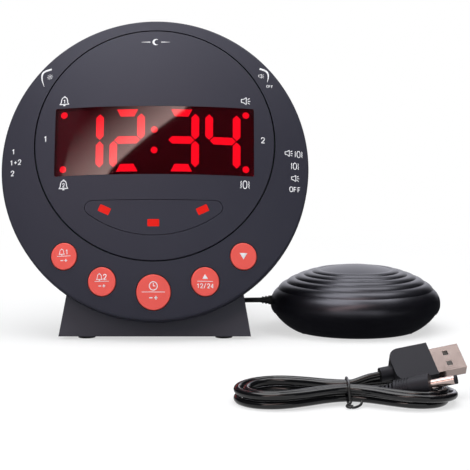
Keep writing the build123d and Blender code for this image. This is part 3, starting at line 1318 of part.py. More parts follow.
def barrel_grip():
    """Round grip with finger grooves and a ringed strain relief."""
    outline = [(0, 0)]
    ring = RELIEF / (2 * RELIEF_RINGS)
    for k in range(RELIEF_RINGS):
        start = 2 * k * ring
        radius = RELIEF_RADIUS + k * RELIEF_GROWTH
        outline += [(start, radius), (start + ring, radius)]
        outline += [(start + ring, RELIEF_CORE_RADIUS), (start + 2 * ring, RELIEF_CORE_RADIUS)]
    outline += [(RELIEF, BARREL_GRIP_RADIUS), (BARREL_FACE, BARREL_GRIP_RADIUS), (BARREL_FACE, 0)]
    body = revolve(make_face(Polyline(*outline, close=True)), Axis.X)
    for k in range(BARREL_GROOVES):
        start = RELIEF + (k + 1) * BARREL_GROOVE_PITCH
        length = (start, start + BARREL_GROOVE_PITCH / 2)
        core = across(BARREL_GRIP_RADIUS - BARREL_GROOVE, *length, 0, 0)
        body -= across(BARREL_GRIP_RADIUS, *length, 0, 0) - core
    return BARREL_PLACE * body


def ring_bar(low, high):
    """A hollow length of the barrel."""
    bore = across(BARREL_BORE_RADIUS, low, high, 0, 0)
    return BARREL_PLACE * (across(BARREL_RADIUS, low, high, 0, 0) - bore)


def snooze_springs():
    """Two coil springs between the main board and the plate."""
    height = SPRING_TOP - BOARD_FRONT - SPRING_WIRE - CONTACT_GAP
    path = Helix(height / SPRING_TURNS, height, SPRING_RADIUS)
    wire = sweep(Plane(path @ 0, z_dir=path % 0) * RegularPolygon(SPRING_WIRE / 2, 4), path=path)
    return [Pos(side * SPRING_X, SPRING_Y, BOARD_FRONT + SPRING_WIRE / 2) * wire for side in (-1, 1)]


def dc_jack():
    """Power socket with a centre pin."""
    pin = tube(DC_PIN_RADIUS, NOSE_END + DC_PIN_RADIUS, NOSE_END + DC_BORE_DEPTH, -JACK_X, JACK_Y)
    return jack(-JACK_X, DC_BORE_RADIUS, DC_BORE_DEPTH) + pin


def save(node, *shapes):
    """Writes one node's solids."""
    solids = [solid for shape in shapes for solid in shape.solids()]
    export_step(solids[0] if len(solids) == 1 else Compound(solids), f"parts/{node}.step")


os.makedirs("parts", exist_ok=True)

CASE_SCREW = screw(SCREW_RADIUS, SCREW_HEAD_RADIUS, SCREW_HEAD, BOARD_FRONT + SCREW_BITE - SCREW_SEAT)
STAND_SCREW = Rot(-90, 0, 0) * screw(SCREW_RADIUS, SCREW_HEAD_RADIUS, SCREW_HEAD, STAND_SCREW_LENGTH)
PAD_SCREW = screw(SHAKER_SCREW_RADIUS, SHAKER_HEAD_RADIUS, SHAKER_HEAD, SHAKER_SCREW)
ALARM_REST = SWITCHES["alarm_select"][1]
MODE_REST = SWITCHES["mode_select"][1] + switch_sizes("mode_select")[2]

PUSH_SPOTS = [(x, y) for x, y, radius in BUTTON_SPOTS.values()]
PUSH_SPOTS.append((0, SNOOZE_SWITCH_Y))

HEAD_PIECES = {
    "front_bezel": [front_bezel()],
    "snooze_plate": [snooze_plate()],
    "hinge_pin": [hinge_pin()],
    "snooze_springs": snooze_springs(),
    "push_switches": [tact_switch(*spot) for spot in PUSH_SPOTS],
    "display_lens": [display_lens()],
    "alert_panel": [alert_panel()],
    "alert_lenses": alert_lenses(),
    "alert_leds": alert_leds(),
    "lit_segments": segments(LIT_OUTLINES),
    "dark_segments": segments(DARK_OUTLINES),
    "display_reflector": [display_reflector()],
    "display_board": [display_board()],
    "display_standoffs": display_standoffs(),
    "main_board": [main_board()],
    "rear_cover": [rear_cover()],
    "case_screws": [Pos(x, y, SCREW_SEAT) * CASE_SCREW for x, y in BOSSES],
    "dimmer_wheel": [wheel(*WHEEL_SPOTS["dimmer"])],
    "volume_wheel": [wheel(*WHEEL_SPOTS["volume"])],
    "potentiometers": [potentiometer(*spot) for spot in WHEEL_SPOTS.values()],
    "slide_switch_bodies": [switch_body(name) for name in SWITCHES],
    "alarm_select_knob": [switch_knob("alarm_select", ALARM_REST)],
    "mode_select_knob": [switch_knob("mode_select", MODE_REST)],
    "speaker": [speaker()],
    "dc_jack": [dc_jack()],
    "shaker_jack": [jack(JACK_X, PLUG_PIN_RADIUS + FIT, PLUG_PIN)],
    "jack_nuts": jack_nuts(),
    "battery_door": [battery_door()],
    "backup_cell": [tube(CELL_RADIUS, CELL_BOTTOM, CELL_BOTTOM + CELL_THICKNESS, 0, DOOR_Y)],
    "stand_screws": [Pos(x, STAND_SEAT_Y, STAND_SCREW_Z) * STAND_SCREW for x in STAND_SCREWS],
    "shaker_plug_grip": [shaker_plug_grip()],
    "shaker_plug_pin": [tube(PLUG_PIN_RADIUS, PLUG_FRONT, PLUG_FRONT + PLUG_PIN, JACK_X, JACK_Y)],
}
for node, spot in BUTTON_SPOTS.items():
    HEAD_PIECES[node] = [button(*spot)]
for node, shapes in HEAD_PIECES.items():
    save(node, *[HEAD * shape for shape in shapes])

PAD_PIECES = {
    "shaker_upper": [shaker_upper()],
    "shaker_lower": [shaker_lower()],
    "shaker_motor": [motor()],
    "motor_shaft": [motor_shaft()],
    "eccentric_weight": [eccentric_weight()],
    "shaker_screws": [Pos(x, y, SHAKER_SEAT) * PAD_SCREW for x, y in SHAKER_SCREWS],
    "shaker_boot": [shaker_boot()],
}
for node, shapes in PAD_PIECES.items():
    save(node, *[SHAKER * shape for shape in shapes])

save("stand", stand())
save("base_plate", base_plate())
save("rubber_feet", *rubber_feet())
save("shaker_cord", shaker_cord())
save("shaker_cord_coil", shaker_cord_coil())
save("shaker_cord_tail", shaker_cord_tail())
save("coil_tie", coil_tie())
save("power_lead", power_lead())
save("hank_tie", hank_tie())
save("usb_overmould", usb_overmould())
save("usb_shell", usb_shell())
save("usb_tongue", usb_tongue())
save("barrel_grip", barrel_grip())
save("barrel", ring_bar(BARREL_FACE, BARREL_FACE + BARREL))
save("barrel_insulator", ring_bar(BARREL_FACE + BARREL, BARREL_FACE + BARREL + BARREL_TIP))
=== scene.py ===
# %% [markdown]
# # A bed shaker alarm clock
# The clock is a leaning round head on a wedge stand. A rippled shaker pad lies beside it on its own cord, and
# a power lead lies tied in front. The solids come from the CAD model, so this lesson gives them finishes,
# prints the marks on the face, and lays the cords.

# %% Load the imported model
import json
import math

import bpy
import numpy as np
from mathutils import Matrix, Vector


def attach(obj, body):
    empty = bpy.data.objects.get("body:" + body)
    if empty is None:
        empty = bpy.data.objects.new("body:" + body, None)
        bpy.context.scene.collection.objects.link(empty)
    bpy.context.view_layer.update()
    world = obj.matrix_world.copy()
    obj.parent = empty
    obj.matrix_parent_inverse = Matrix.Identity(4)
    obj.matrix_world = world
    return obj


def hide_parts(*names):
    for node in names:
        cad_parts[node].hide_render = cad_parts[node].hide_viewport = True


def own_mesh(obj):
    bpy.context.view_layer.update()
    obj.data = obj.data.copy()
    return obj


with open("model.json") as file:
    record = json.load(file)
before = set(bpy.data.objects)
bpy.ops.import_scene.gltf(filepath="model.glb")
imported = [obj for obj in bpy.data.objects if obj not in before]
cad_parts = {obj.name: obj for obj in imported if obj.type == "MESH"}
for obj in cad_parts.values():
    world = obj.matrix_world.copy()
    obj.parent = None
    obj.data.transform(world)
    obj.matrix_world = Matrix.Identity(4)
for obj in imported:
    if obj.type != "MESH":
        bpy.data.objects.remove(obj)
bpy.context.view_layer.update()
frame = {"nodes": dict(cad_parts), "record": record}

MM = 0.001
nodes = frame["nodes"]

# %% [markdown]
# ## Camera
# The clock was photographed from far away with a long lens, a little above the middle of the face. A shifted
# lens could frame it too, but every other view would keep the shift. So the camera looks along +Y and is
# tipped down a few degrees, which gives the same oval for the head.

# %% Camera
CAMERA_PLACE = (0.038, -0.817, 0.140)
CAMERA_TIP = math.radians(6.53)
CAMERA_LENS = 129.2
CAMERA_SENSOR = 36.0


def show(name, data):
    """A new object that holds this data, linked into the scene."""
    made = bpy.data.objects.new(name, data)
    bpy.context.scene.collection.objects.link(made)
    return made


camera = show("camera", bpy.data.cameras.new("camera"))
camera.data.lens = CAMERA_LENS
camera.data.sensor_width = CAMERA_SENSOR
camera.location = CAMERA_PLACE
camera.rotation_euler = (math.pi / 2 - CAMERA_TIP, 0, 0)
bpy.context.scene.camera = camera
bpy.context.scene.view_settings.view_transform = "Standard"
print("camera at", CAMERA_PLACE)

# %% [markdown]
# ## Shader maths as Python
# A finish is a tree of nodes, which could be joined one link at a time. It is easier to read as arithmetic,
# so `Value` wraps one socket, and each operator on it adds a Math node. Every other node comes from
# `Finish.node`, which sets the node's settings first and then its sockets.


# %% Values and finishes
class Value:
    """One output socket; arithmetic on it adds Math nodes to its tree."""

    def __init__(self, finish, socket):
        self.finish = finish
        self.socket = socket

    def combine(self, operation, first, second):
        """A Math node on two values or numbers."""
        return self.finish.node("ShaderNodeMath", {"operation": operation}, {0: first, 1: second})

    def __add__(self, other):
        return self.combine("ADD", self, other)

    def __sub__(self, other):
        return self.combine("SUBTRACT", self, other)

    def __rsub__(self, other):
        return self.combine("SUBTRACT", other, self)

    def __mul__(self, other):
        return self.combine("MULTIPLY", self, other)

    __radd__ = __add__
    __rmul__ = __mul__


class Finish:
    """A node tree, with one method that adds any node to it."""

    def __init__(self, owner):
        owner.use_nodes = True
        self.owner = owner
        self.tree = owner.node_tree

    def put(self, socket, value):
        """Links a Value to a socket, or sets the socket to a number or colour."""
        if isinstance(value, Value):
            self.tree.links.new(value.socket, socket)
        else:
            socket.default_value = value

    def node(self, kind, settings=None, inputs=None, output=0):
        """Adds a node of this type and returns one of its outputs."""
        made = self.tree.nodes.new(kind)
        for name, value in (settings or {}).items():
            setattr(made, name, value)
        for name, value in (inputs or {}).items():
            self.put(made.inputs[name], value)
        return Value(self, made.outputs[output])

    def mix(self, share, first, second):
        """A colour between two colours."""
        settings = {"data_type": "RGBA"}
        return self.node("ShaderNodeMix", settings, {0: share, 6: first, 7: second}, 2)

    def rise(self, value, low, high):
        """0 below a value's low mark, 1 above its high mark, and smooth between them."""
        marks = {"Value": value, "From Min": low, "From Max": high}
        return self.node("ShaderNodeMapRange", {"interpolation_type": "SMOOTHSTEP"}, marks)

    def shine(self, shader):
        """Gives the whole surface this shader."""
        self.put(self.tree.nodes["Material Output"].inputs["Surface"], shader)


print("values and finishes defined")

# %% [markdown]
# ## Soft studio light
# White sweeps in a studio are lit from above by a wide softbox, with a weaker one from each side. One small
# lamp would be simpler, but its shadow would be hard. The floor stays a real surface near the clock, so it
# keeps the shadow. Further off it fades to plain white, which only the camera, reflections and see-through
# parts see.

# %% Background
WHITE = (1.0, 1.0, 1.0, 1.0)
AMBIENT = (0.86, 0.88, 0.92, 1.0)
AMBIENT_STRENGTH = 0.5
DIRECT_RAYS = ("Is Camera Ray", "Is Glossy Ray", "Is Transmission Ray")


def seen_directly(paint):
    """1 for rays that come from the camera or by way of a reflection or a see-through part, else 0."""
    rays = [paint.node("ShaderNodeLightPath", output=ray) for ray in DIRECT_RAYS]
    camera_ray, glossy_ray, clear_ray = rays
    settings = {"operation": "ADD", "use_clamp": True}
    return paint.node("ShaderNodeMath", settings, {0: camera_ray, 1: glossy_ray + clear_ray})


world = bpy.data.worlds.new("studio")
bpy.context.scene.world = world
sky = Finish(world)
background = sky.tree.nodes["Background"]
direct = seen_directly(sky)
sky.put(background.inputs["Color"], sky.mix(direct, AMBIENT, WHITE))
sky.put(background.inputs["Strength"], direct * (1 - AMBIENT_STRENGTH) + AMBIENT_STRENGTH)
print("background ready")

# %% Lamps
CLOCK_MIDDLE = (0.03, -0.03, 0.06)
SOFTBOXES = {
    "top_box": {"place": (0.0, -0.15, 1.25), "size": (1.5, 1.1), "watts": 14.0},
    "left_box": {"place": (-0.95, -1.05, 0.95), "size": (0.8, 0.8), "watts": 4.6},
    "right_box": {"place": (1.15, -0.85, 0.7), "size": (0.6, 0.9), "watts": 1.4},
}


def softbox(name, place, size, watts):
    """A rectangular area lamp that looks at the clock. Cards stand for it in reflections."""
    lamp = bpy.data.lights.new(name, "AREA")
    lamp.shape = "RECTANGLE"
    lamp.size, lamp.size_y = size
    lamp.energy = watts
    holder = show(name, lamp)
    holder.location = place
    holder.visible_glossy = False
    holder.rotation_euler = (Vector(CLOCK_MIDDLE) - Vector(place)).to_track_quat("-Z", "Y").to_euler()
    print(name, watts, "W")


for name, facts in SOFTBOXES.items():
    softbox(name, **facts)

# %% Floor paint
FLOOR_TONE = (0.93, 0.93, 0.93, 1.0)
FLOOR_ROUGHNESS = 0.9
SHADOW_MIDDLE = (0.05, -0.05, 0.0)
SHADOW_NEAR, SHADOW_FAR = 0.22, 0.5
SHADOW_SHARE = 0.4

floor_paint = Finish(bpy.data.materials.new("studio_floor"))
floor_shader = floor_paint.tree.nodes["Principled BSDF"]
floor_shader.inputs["Base Color"].default_value = FLOOR_TONE
floor_shader.inputs["Roughness"].default_value = FLOOR_ROUGHNESS
floor_shader.inputs["Specular IOR Level"].default_value = 0.0
floor_spot = floor_paint.node("ShaderNodeTexCoord", output="Object")
from_middle = {0: floor_spot, 1: SHADOW_MIDDLE}
centred = floor_paint.node("ShaderNodeVectorMath", {"operation": "SUBTRACT"}, from_middle)
distance = floor_paint.node("ShaderNodeVectorMath", {"operation": "LENGTH"}, {0: centred}, "Value")
far = floor_paint.rise(distance, SHADOW_NEAR, SHADOW_FAR)
whitened = (1 - (1 - far) * SHADOW_SHARE) * seen_directly(floor_paint)
glow = floor_paint.node("ShaderNodeEmission", None, {"Color": WHITE, "Strength": 1.0})
surface = Value(floor_paint, floor_shader.outputs[0])
floor_paint.shine(floor_paint.node("ShaderNodeMixShader", None, {0: whitened, 1: surface, 2: glow}))
print("the floor's shadow fades from", SHADOW_NEAR, "to", SHADOW_FAR, "m")

# %% Floor
FLOOR_REACH = 6.0
FLOOR_CORNERS = FLOOR_REACH * np.array([(-1, -1, 0), (1, -1, 0), (1, 1, 0), (-1, 1, 0)])


def studio_mesh(name, points, faces, paint):
    """A mesh that belongs to the studio and not to the clock."""
    mesh = bpy.data.meshes.new(name)
    mesh.from_pydata(points.tolist(), [], faces)
    mesh.materials.append(paint.owner)
    made = show(name, mesh)
    return made


studio_mesh("floor", FLOOR_CORNERS, [(0, 1, 2, 3)], floor_paint)
print("floor reaches", FLOOR_REACH, "m")

# %% [markdown]
# ## Cards round the set
# Dark satin plastic shows its surroundings more than its own colour. In a white room it looks pale, so a
# photographer stands a dark folding screen round it, open towards the camera, and lays a dark sheet under it
# that is bright only in front. The screen's back is pale behind the clock, which gives the pad's top its
# sheen. A darker paint could do some of that, but it would be wrong under other light. Only reflections see
# the cards.


# %% Grids and cards
def grid_faces(rows, columns, start=0, closed_rows=False, closed_columns=False):
    """Corner numbers of the quads of a grid, whose rows or columns may run round to the first again."""
    index = start + np.arange(rows * columns).reshape(rows, columns)
    if closed_rows:
        index = np.concatenate([index, index[:1]], axis=0)
    if closed_columns:
        index = np.concatenate([index, index[:, :1]], axis=1)
    corners = (index[:-1, :-1], index[1:, :-1], index[1:, 1:], index[:-1, 1:])
    return np.stack(corners, axis=-1).reshape(-1, 4)


def leaf(x, y, z):
    """The corners of a rectangle: two of these are spans, and the third is one number."""
    tall, deep, across = np.meshgrid(z, y, x, indexing="ij")
    return np.stack([across, deep, tall], axis=-1).squeeze()


def card(name, grid, strength, shade):
    """A row of quads that shine in reflections only; shade gives the colour from a place."""
    paint = Finish(bpy.data.materials.new(name))
    spot = paint.node("ShaderNodeTexCoord", output="Object")
    parts = [paint.node("ShaderNodeSeparateXYZ", None, {0: spot}, axis) for axis in "XYZ"]
    light = {"Color": shade(paint, *parts), "Strength": strength}
    paint.shine(paint.node("ShaderNodeEmission", None, light))
    faces = grid_faces(*grid.shape[:2]).tolist()
    made = studio_mesh(name, grid.reshape(-1, 3), faces, paint)
    for rays in ("camera", "diffuse", "shadow", "transmission"):
        setattr(made, f"visible_{rays}", False)
    print(name, "of", len(faces), "leaves")


print("a card of two by six corners has", len(grid_faces(2, 6)), "leaves")

# %% Folding screen
SCREEN_FOOT = [(-0.86, -1.2), (-1.25, -0.6), (-1.25, 1.05), (1.35, 1.05), (1.35, -0.7), (0.92, -1.2)]
SCREEN_FADE, SCREEN_TOP = 0.5, 1.9
SCREEN_LOW_TONE = (0.015, 0.015, 0.018, 1.0)
SCREEN_HIGH_TONE = (0.12, 0.12, 0.13, 1.0)
PALE_TONE = (1.1, 1.1, 1.2, 1.0)
PALE_BACK, PALE_TOP = (0.9, 1.04), (0.9, 1.5)
PALE_LEFT, PALE_RIGHT = (-0.5, 0.0), (0.35, 0.85)


def screen_shade(paint, x, y, z):
    """Dark, a little lighter towards its top, and pale low down behind the clock."""
    dark = paint.mix(paint.rise(z, SCREEN_FADE, SCREEN_TOP), SCREEN_LOW_TONE, SCREEN_HIGH_TONE)
    behind = paint.rise(y, *PALE_BACK) * (1 - paint.rise(z, *PALE_TOP))
    middle = paint.rise(x, *PALE_LEFT) * (1 - paint.rise(x, *PALE_RIGHT))
    return paint.mix(behind * middle, dark, PALE_TONE)


screen = np.array([[(x, y, z) for x, y in SCREEN_FOOT] for z in (0.0, SCREEN_TOP)])
card("folding_screen", screen, 1.0, screen_shade)

# %% Sheet under the clock
SHEET_X, SHEET_Y, SHEET_LIFT = (-1.25, 1.35), (-0.9, 1.05), 0.0002
SHEET_DARK = (0.03, 0.03, 0.035, 1.0)
SHEET_BRIGHT = (0.7, 0.7, 0.7, 1.0)
SHEET_FRONT = (0.1, 0.2)


def sheet_shade(paint, x, y, z):
    """Bright in front of the clock, dark beside and behind it."""
    return paint.mix(paint.rise(y * -1, *SHEET_FRONT), SHEET_DARK, SHEET_BRIGHT)


card("dark_sheet", leaf(SHEET_X, SHEET_Y, SHEET_LIFT), 1.0, sheet_shade)

# %% [markdown]
# ## Ceiling and glint
# A card under the ceiling is bright over the clock and dim over the lead, which leaves the strands thin lines
# of light. One more card hangs above the camera. It shines along a slanting edge and fades away from it,
# which gives the display window its glint. Lamps could draw such lines too, but they would also light the
# colours.

# %% Ceiling
CEILING_X, CEILING_Y, CEILING_HEIGHT = (-0.75, 0.75), (-0.7, 0.45), 1.2
CEILING_STRENGTH = 3.8
LEAD_BACK, LEAD_LEFT, PLUGS_LEFT = (-0.2, 0.04), (0.04, 0.14), (0.15, 0.3)
OVER_LEAD = (0.06, 0.06, 0.06, 1.0)
OVER_PLUGS = (0.11, 0.11, 0.11, 1.0)


def ceiling_shade(paint, x, y, z):
    """Bright over the clock and behind it, dim over the plugs in front, and dimmer over the lead."""
    in_front = (1 - paint.rise(y, *LEAD_BACK)) * paint.rise(x, *LEAD_LEFT)
    return paint.mix(in_front, WHITE, paint.mix(paint.rise(x, *PLUGS_LEFT), OVER_LEAD, OVER_PLUGS))


card("ceiling_card", leaf(CEILING_X, CEILING_Y, CEILING_HEIGHT), CEILING_STRENGTH, ceiling_shade)

# %% Glint
GLINT_X, GLINT_Y, GLINT_Z = (-1.8, 1.5), -1.3, (0.55, 2.2)
GLINT_STRENGTH = 7.0
GLINT_FOOT, GLINT_ACROSS = (-0.462, 0.729), (-0.75, 0.661)
GLINT_EDGE, GLINT_FADE = 0.04, 0.85
GLINT_NONE = (0.0, 0.0, 0.0, 1.0)
GLINT_TONE = (1.0, 0.74, 0.69, 1.0)


def glint_shade(paint, x, y, z):
    """Dark below a slanting line; above it, as bright as the square of the way left to the far side."""
    above = (x - GLINT_FOOT[0]) * GLINT_ACROSS[0] + (z - GLINT_FOOT[1]) * GLINT_ACROSS[1]
    left = 1 - paint.node("ShaderNodeMapRange", None, {"Value": above, "From Max": GLINT_FADE})
    return paint.mix(paint.rise(above, 0.0, GLINT_EDGE) * left * left, GLINT_NONE, GLINT_TONE)


card("glint_card", leaf(GLINT_X, GLINT_Y, GLINT_Z), GLINT_STRENGTH, glint_shade)

# %% [markdown]
# ## Finishes
# Moulded plastic is never one flat colour: the mould's spark texture breaks up the shine, and the tone drifts
# a little over a large wall. Photographs of plastic could be wrapped round the solids, but these have no UV
# map to lay them on. So each finish mixes two near tones with a slow noise and takes its roughness and bump
# from a fine one. Object coordinates are metres, so a noise scale of 3000 is a grain of about a third of a
# millimetre.

# %% The base of every finish
DRIFT_SCALE, DRIFT_DETAIL = 18.0, 3.0
GRAIN_DETAIL = 2.0
NOISE_MIDDLE = 0.5
ROUGH_SWING = 0.08
BUMP_STRENGTH = 0.5


def finish(name, dark, light, rough, grain, depth, constants, drift=DRIFT_SCALE, swing=ROUGH_SWING):
    """A principled finish: two tones by a slow noise, roughness and bump by a fine one."""
    made = Finish(bpy.data.materials.new(name))
    shader = made.tree.nodes["Principled BSDF"]
    spot = made.node("ShaderNodeTexCoord", output="Object")
    slow = made.node("ShaderNodeTexNoise", None, {"Vector": spot, "Scale": drift, "Detail": DRIFT_DETAIL})
    fine = made.node("ShaderNodeTexNoise", None, {"Vector": spot, "Scale": grain, "Detail": GRAIN_DETAIL})
    made.put(shader.inputs["Base Color"], made.mix(slow, (*dark, 1.0), (*light, 1.0)))
    uneven = (fine - NOISE_MIDDLE) * swing + (slow - NOISE_MIDDLE) * swing
    made.put(shader.inputs["Roughness"], uneven + rough)
    relief = {"Height": fine, "Strength": BUMP_STRENGTH, "Distance": depth}
    made.put(shader.inputs["Normal"], made.node("ShaderNodeBump", None, relief))
    for socket, value in constants.items():
        shader.inputs[socket].default_value = value
    return made


print("each finish has a slow noise of scale", DRIFT_SCALE, "unless it says otherwise")

# %% Finishes of the solids
# Each row: dark and light tone, roughness, grain's scale and depth, constants, and scale of the slow noise
COOL = (0.86, 0.86, 1.0, 1.0)
PLAIN = {}
SATIN = {"Specular IOR Level": 0.3, "Specular Tint": COOL}
GLOSS = {"Specular IOR Level": 0.85, "Specular Tint": COOL}
MATT = {"Specular IOR Level": 0.2}
METAL = {"Metallic": 1.0}
RECIPES = {
    "body_plastic": ((0.026, 0.026, 0.038), (0.032, 0.032, 0.046), 0.5, 3200, 2e-5, SATIN),
    "stand_plastic": ((0.042, 0.042, 0.052), (0.05, 0.05, 0.061), 0.52, 3200, 2e-5, SATIN),
    "panel_plastic": ((0.026, 0.026, 0.038), (0.032, 0.032, 0.046), 0.46, 3600, 1.5e-5, SATIN),
    "red_plastic": ((0.8, 0.082, 0.064), (0.88, 0.1, 0.078), 0.42, 3600, 1.5e-5, PLAIN),
    "alert_red": ((0.7, 0.006, 0.002), (0.85, 0.01, 0.004), 0.3, 2400, 1e-5, MATT),
    "dark_segment": ((0.02, 0.004, 0.005), (0.03, 0.006, 0.007), 0.4, 3000, 1e-5, PLAIN),
    "reflector_black": ((0.012, 0.005, 0.005), (0.018, 0.007, 0.007), 0.6, 2600, 2e-5, PLAIN),
    "led_clear": ((0.6, 0.04, 0.03), (0.7, 0.06, 0.05), 0.15, 1500, 5e-6, PLAIN),
    "board_green": ((0.012, 0.08, 0.025), (0.02, 0.11, 0.04), 0.35, 900, 2e-5, PLAIN, 60.0),
    "black_plastic": ((0.009, 0.009, 0.011), (0.014, 0.014, 0.016), 0.5, 2800, 2e-5, SATIN),
    "control_plastic": ((0.02, 0.02, 0.023), (0.03, 0.03, 0.033), 0.5, 3000, 2e-5, PLAIN),
    "steel": ((0.45, 0.45, 0.46), (0.6, 0.6, 0.61), 0.3, 1600, 5e-6, METAL, 120.0),
    "socket_plastic": ((0.014, 0.014, 0.015), (0.02, 0.02, 0.022), 0.3, 2600, 1e-5, PLAIN),
    "rubber_black": ((0.014, 0.014, 0.014), (0.024, 0.024, 0.024), 0.62, 2200, 3e-5, PLAIN, 60.0),
    "pad_black": ((0.002, 0.002, 0.003), (0.0035, 0.0035, 0.005), 0.32, 2800, 6e-6, GLOSS),
    "cord_black": ((0.012, 0.012, 0.013), (0.018, 0.018, 0.02), 0.4, 1400, 2e-5, PLAIN, 60.0),
    "lead_black": ((0.003, 0.003, 0.0035), (0.006, 0.006, 0.007), 0.11, 1400, 1e-5, PLAIN, 60.0),
    "tie_black": ((0.012, 0.012, 0.012), (0.02, 0.02, 0.02), 0.3, 1800, 2e-5, PLAIN, 80.0),
    "plug_nickel": ((0.53, 0.42, 0.39), (0.63, 0.51, 0.48), 0.2, 1200, 6e-6, METAL, 90.0),
    "tongue_white": ((0.7, 0.7, 0.68), (0.78, 0.78, 0.75), 0.5, 2000, 1e-5, PLAIN),
    "brass_weight": ((0.52, 0.38, 0.16), (0.64, 0.5, 0.24), 0.34, 1500, 8e-6, METAL, 90.0),
    "cone_paper": ((0.02, 0.02, 0.022), (0.035, 0.035, 0.037), 0.85, 900, 6e-5, PLAIN, 80.0),
    "white_ink": ((0.78, 0.78, 0.8), (0.9, 0.9, 0.92), 0.5, 2600, 8e-6, PLAIN, 200.0),
}
FINISHES = {name: finish(name, *recipe) for name, recipe in RECIPES.items()}
print(len(FINISHES), "finishes")

# %% [markdown]
# ## Display window and lit segments
# The window is dark red acrylic: it lets the lit segments through and keeps the unlit ones dark. It could be
# painted black with red strokes on top, but it would lose its depth. So a principled shader with nearly full
# transmission and a deep red tint stands in front of segments that glow a little unevenly, as light spreaders
# do.

# %% Window and light
ACRYLIC = {"Transmission Weight": 0.94, "IOR": 1.49}
ACRYLIC_SWING = 0.02
WINDOW = ((0.22, 0.012, 0.026), (0.26, 0.016, 0.032), 0.05, 400, 2e-7, ACRYLIC)
GLOW = {"Emission Strength": 5.0}
GLOW_SCALE, GLOW_DETAIL = 260.0, 2.0
GLOW_DARK, GLOW_LIGHT = (1.0, 0.04, 0.1, 1.0), (1.0, 0.06, 0.13, 1.0)
SEGMENT = ((0.9, 0.02, 0.05), (1.0, 0.03, 0.07), 0.4, 2000, 1e-5, GLOW)

FINISHES["lens_acrylic"] = finish("lens_acrylic", *WINDOW, swing=ACRYLIC_SWING)
lit = finish("lit_red", *SEGMENT)
lit_spot = lit.node("ShaderNodeTexCoord", output="Object")
lit_noise = {"Vector": lit_spot, "Scale": GLOW_SCALE, "Detail": GLOW_DETAIL}
lit_tone = lit.mix(lit.node("ShaderNodeTexNoise", None, lit_noise), GLOW_DARK, GLOW_LIGHT)
lit.put(lit.tree.nodes["Principled BSDF"].inputs["Emission Color"], lit_tone)
FINISHES["lit_red"] = lit
print("window and light ready")

# %% Put the finishes on the solids
for entry in frame["record"]["subparts"]:
    solid = nodes[entry["node"]]
    solid.data.materials.clear()
    solid.data.materials.append(FINISHES[entry["material_slot"]].owner)
print("finished solids", len(nodes))

# %% [markdown]
# ## Shaker cord
# The cord leaves the pad's boot, bends past the stand and goes behind the clock. What the picture doesn't
# show is put away there as a flat coil, and its plug is in the clock's back. It could be a mesh tube, but a
# curve keeps its route easy to change. So it is one NURBS line with a round bevel, and the coil's turns are
# more points of the same line, worked out layer by layer.

# %% Shaker cord's route
CORD_RADIUS = 1.2
BOOT_TIP = (50.4, 2.0, 14.2)
CORD_OUT = [
    (45.5, 2.0, 14.2), (41.2, 4.8, 13.6), (38.6, 9.6, 12.1), (37.6, 18.2, 8.4), (36.6, 28.0, 4.2),
    (32.6, 37.2, 2.2), (25.0, 43.2, 2.0), (15.4, 45.8, 2.0), (5.4, 46.344, 2.0),
]
CORD_BACK = [
    (5.4, 85.656, 10.7), (11.5, 81.8, 13.0), (19.0, 76.0, 17.2), (23.6, 69.0, 22.4), (25.6, 61.0, 27.8),
]
CORD_INTO_PLUG = [(26.0, 52.63, 32.23), (26.0, 44.05, 34.94)]
print(len(CORD_OUT), "points to the coil,", len(CORD_BACK), "from it to the plug")

# %% Put-away coil
COIL_MIDDLE = np.array([-6.0, 66.0])
COIL_TURNS, COIL_LAYERS = 14.5, 4
COIL_PITCH = 2.9
LAYER_TURNS = COIL_TURNS / COIL_LAYERS
COIL_MEAN = 14.4
COIL_OUTER = COIL_MEAN + LAYER_TURNS * COIL_PITCH / 2
COIL_FLOOR = 2.0
CLIMB_TURNS = 0.5


def ease(share):
    """A smooth rise from 0 to 1: three times the square less twice the cube."""
    share = np.clip(share, 0.0, 1.0)
    return share * share * (3 - 2 * share)


def pull_in(points_per_turn):
    """How far inside its control points a quadratic spline runs on a circle.

    The share is three quarters plus a quarter of the cosine of one step.
    """
    return 0.75 + 0.25 * math.cos(2 * math.pi / points_per_turn)


def coil_points(points_per_turn):
    """The coil: the radius swings in and out by a pitch a turn, and each reversal climbs by a pitch."""
    turn = np.arange(0, COIL_TURNS * points_per_turn + 1) / points_per_turn
    layer = np.floor(turn / LAYER_TURNS)
    share = turn - layer * LAYER_TURNS
    inward = np.where(layer % 2 == 1, LAYER_TURNS - share, share)
    radius = (COIL_OUTER - COIL_PITCH * inward) / pull_in(points_per_turn)
    climbs = sum(ease((turn - k * LAYER_TURNS) / CLIMB_TURNS + 0.5) for k in range(1, COIL_LAYERS))
    angle = -math.pi / 2 - 2 * math.pi * turn
    across = COIL_MIDDLE[0] + radius * np.cos(angle)
    deep = COIL_MIDDLE[1] + radius * np.sin(angle)
    return np.stack([across, deep, COIL_FLOOR + COIL_PITCH * climbs], axis=1)


print("coil reaches", round(COIL_OUTER + CORD_RADIUS, 1), "mm from its middle")

# %% Lay the shaker cord
COIL_POINTS_PER_TURN = 16
BEVEL_STEPS, SPAN_STEPS = 5, 6
QUADRATIC_ORDER = 3


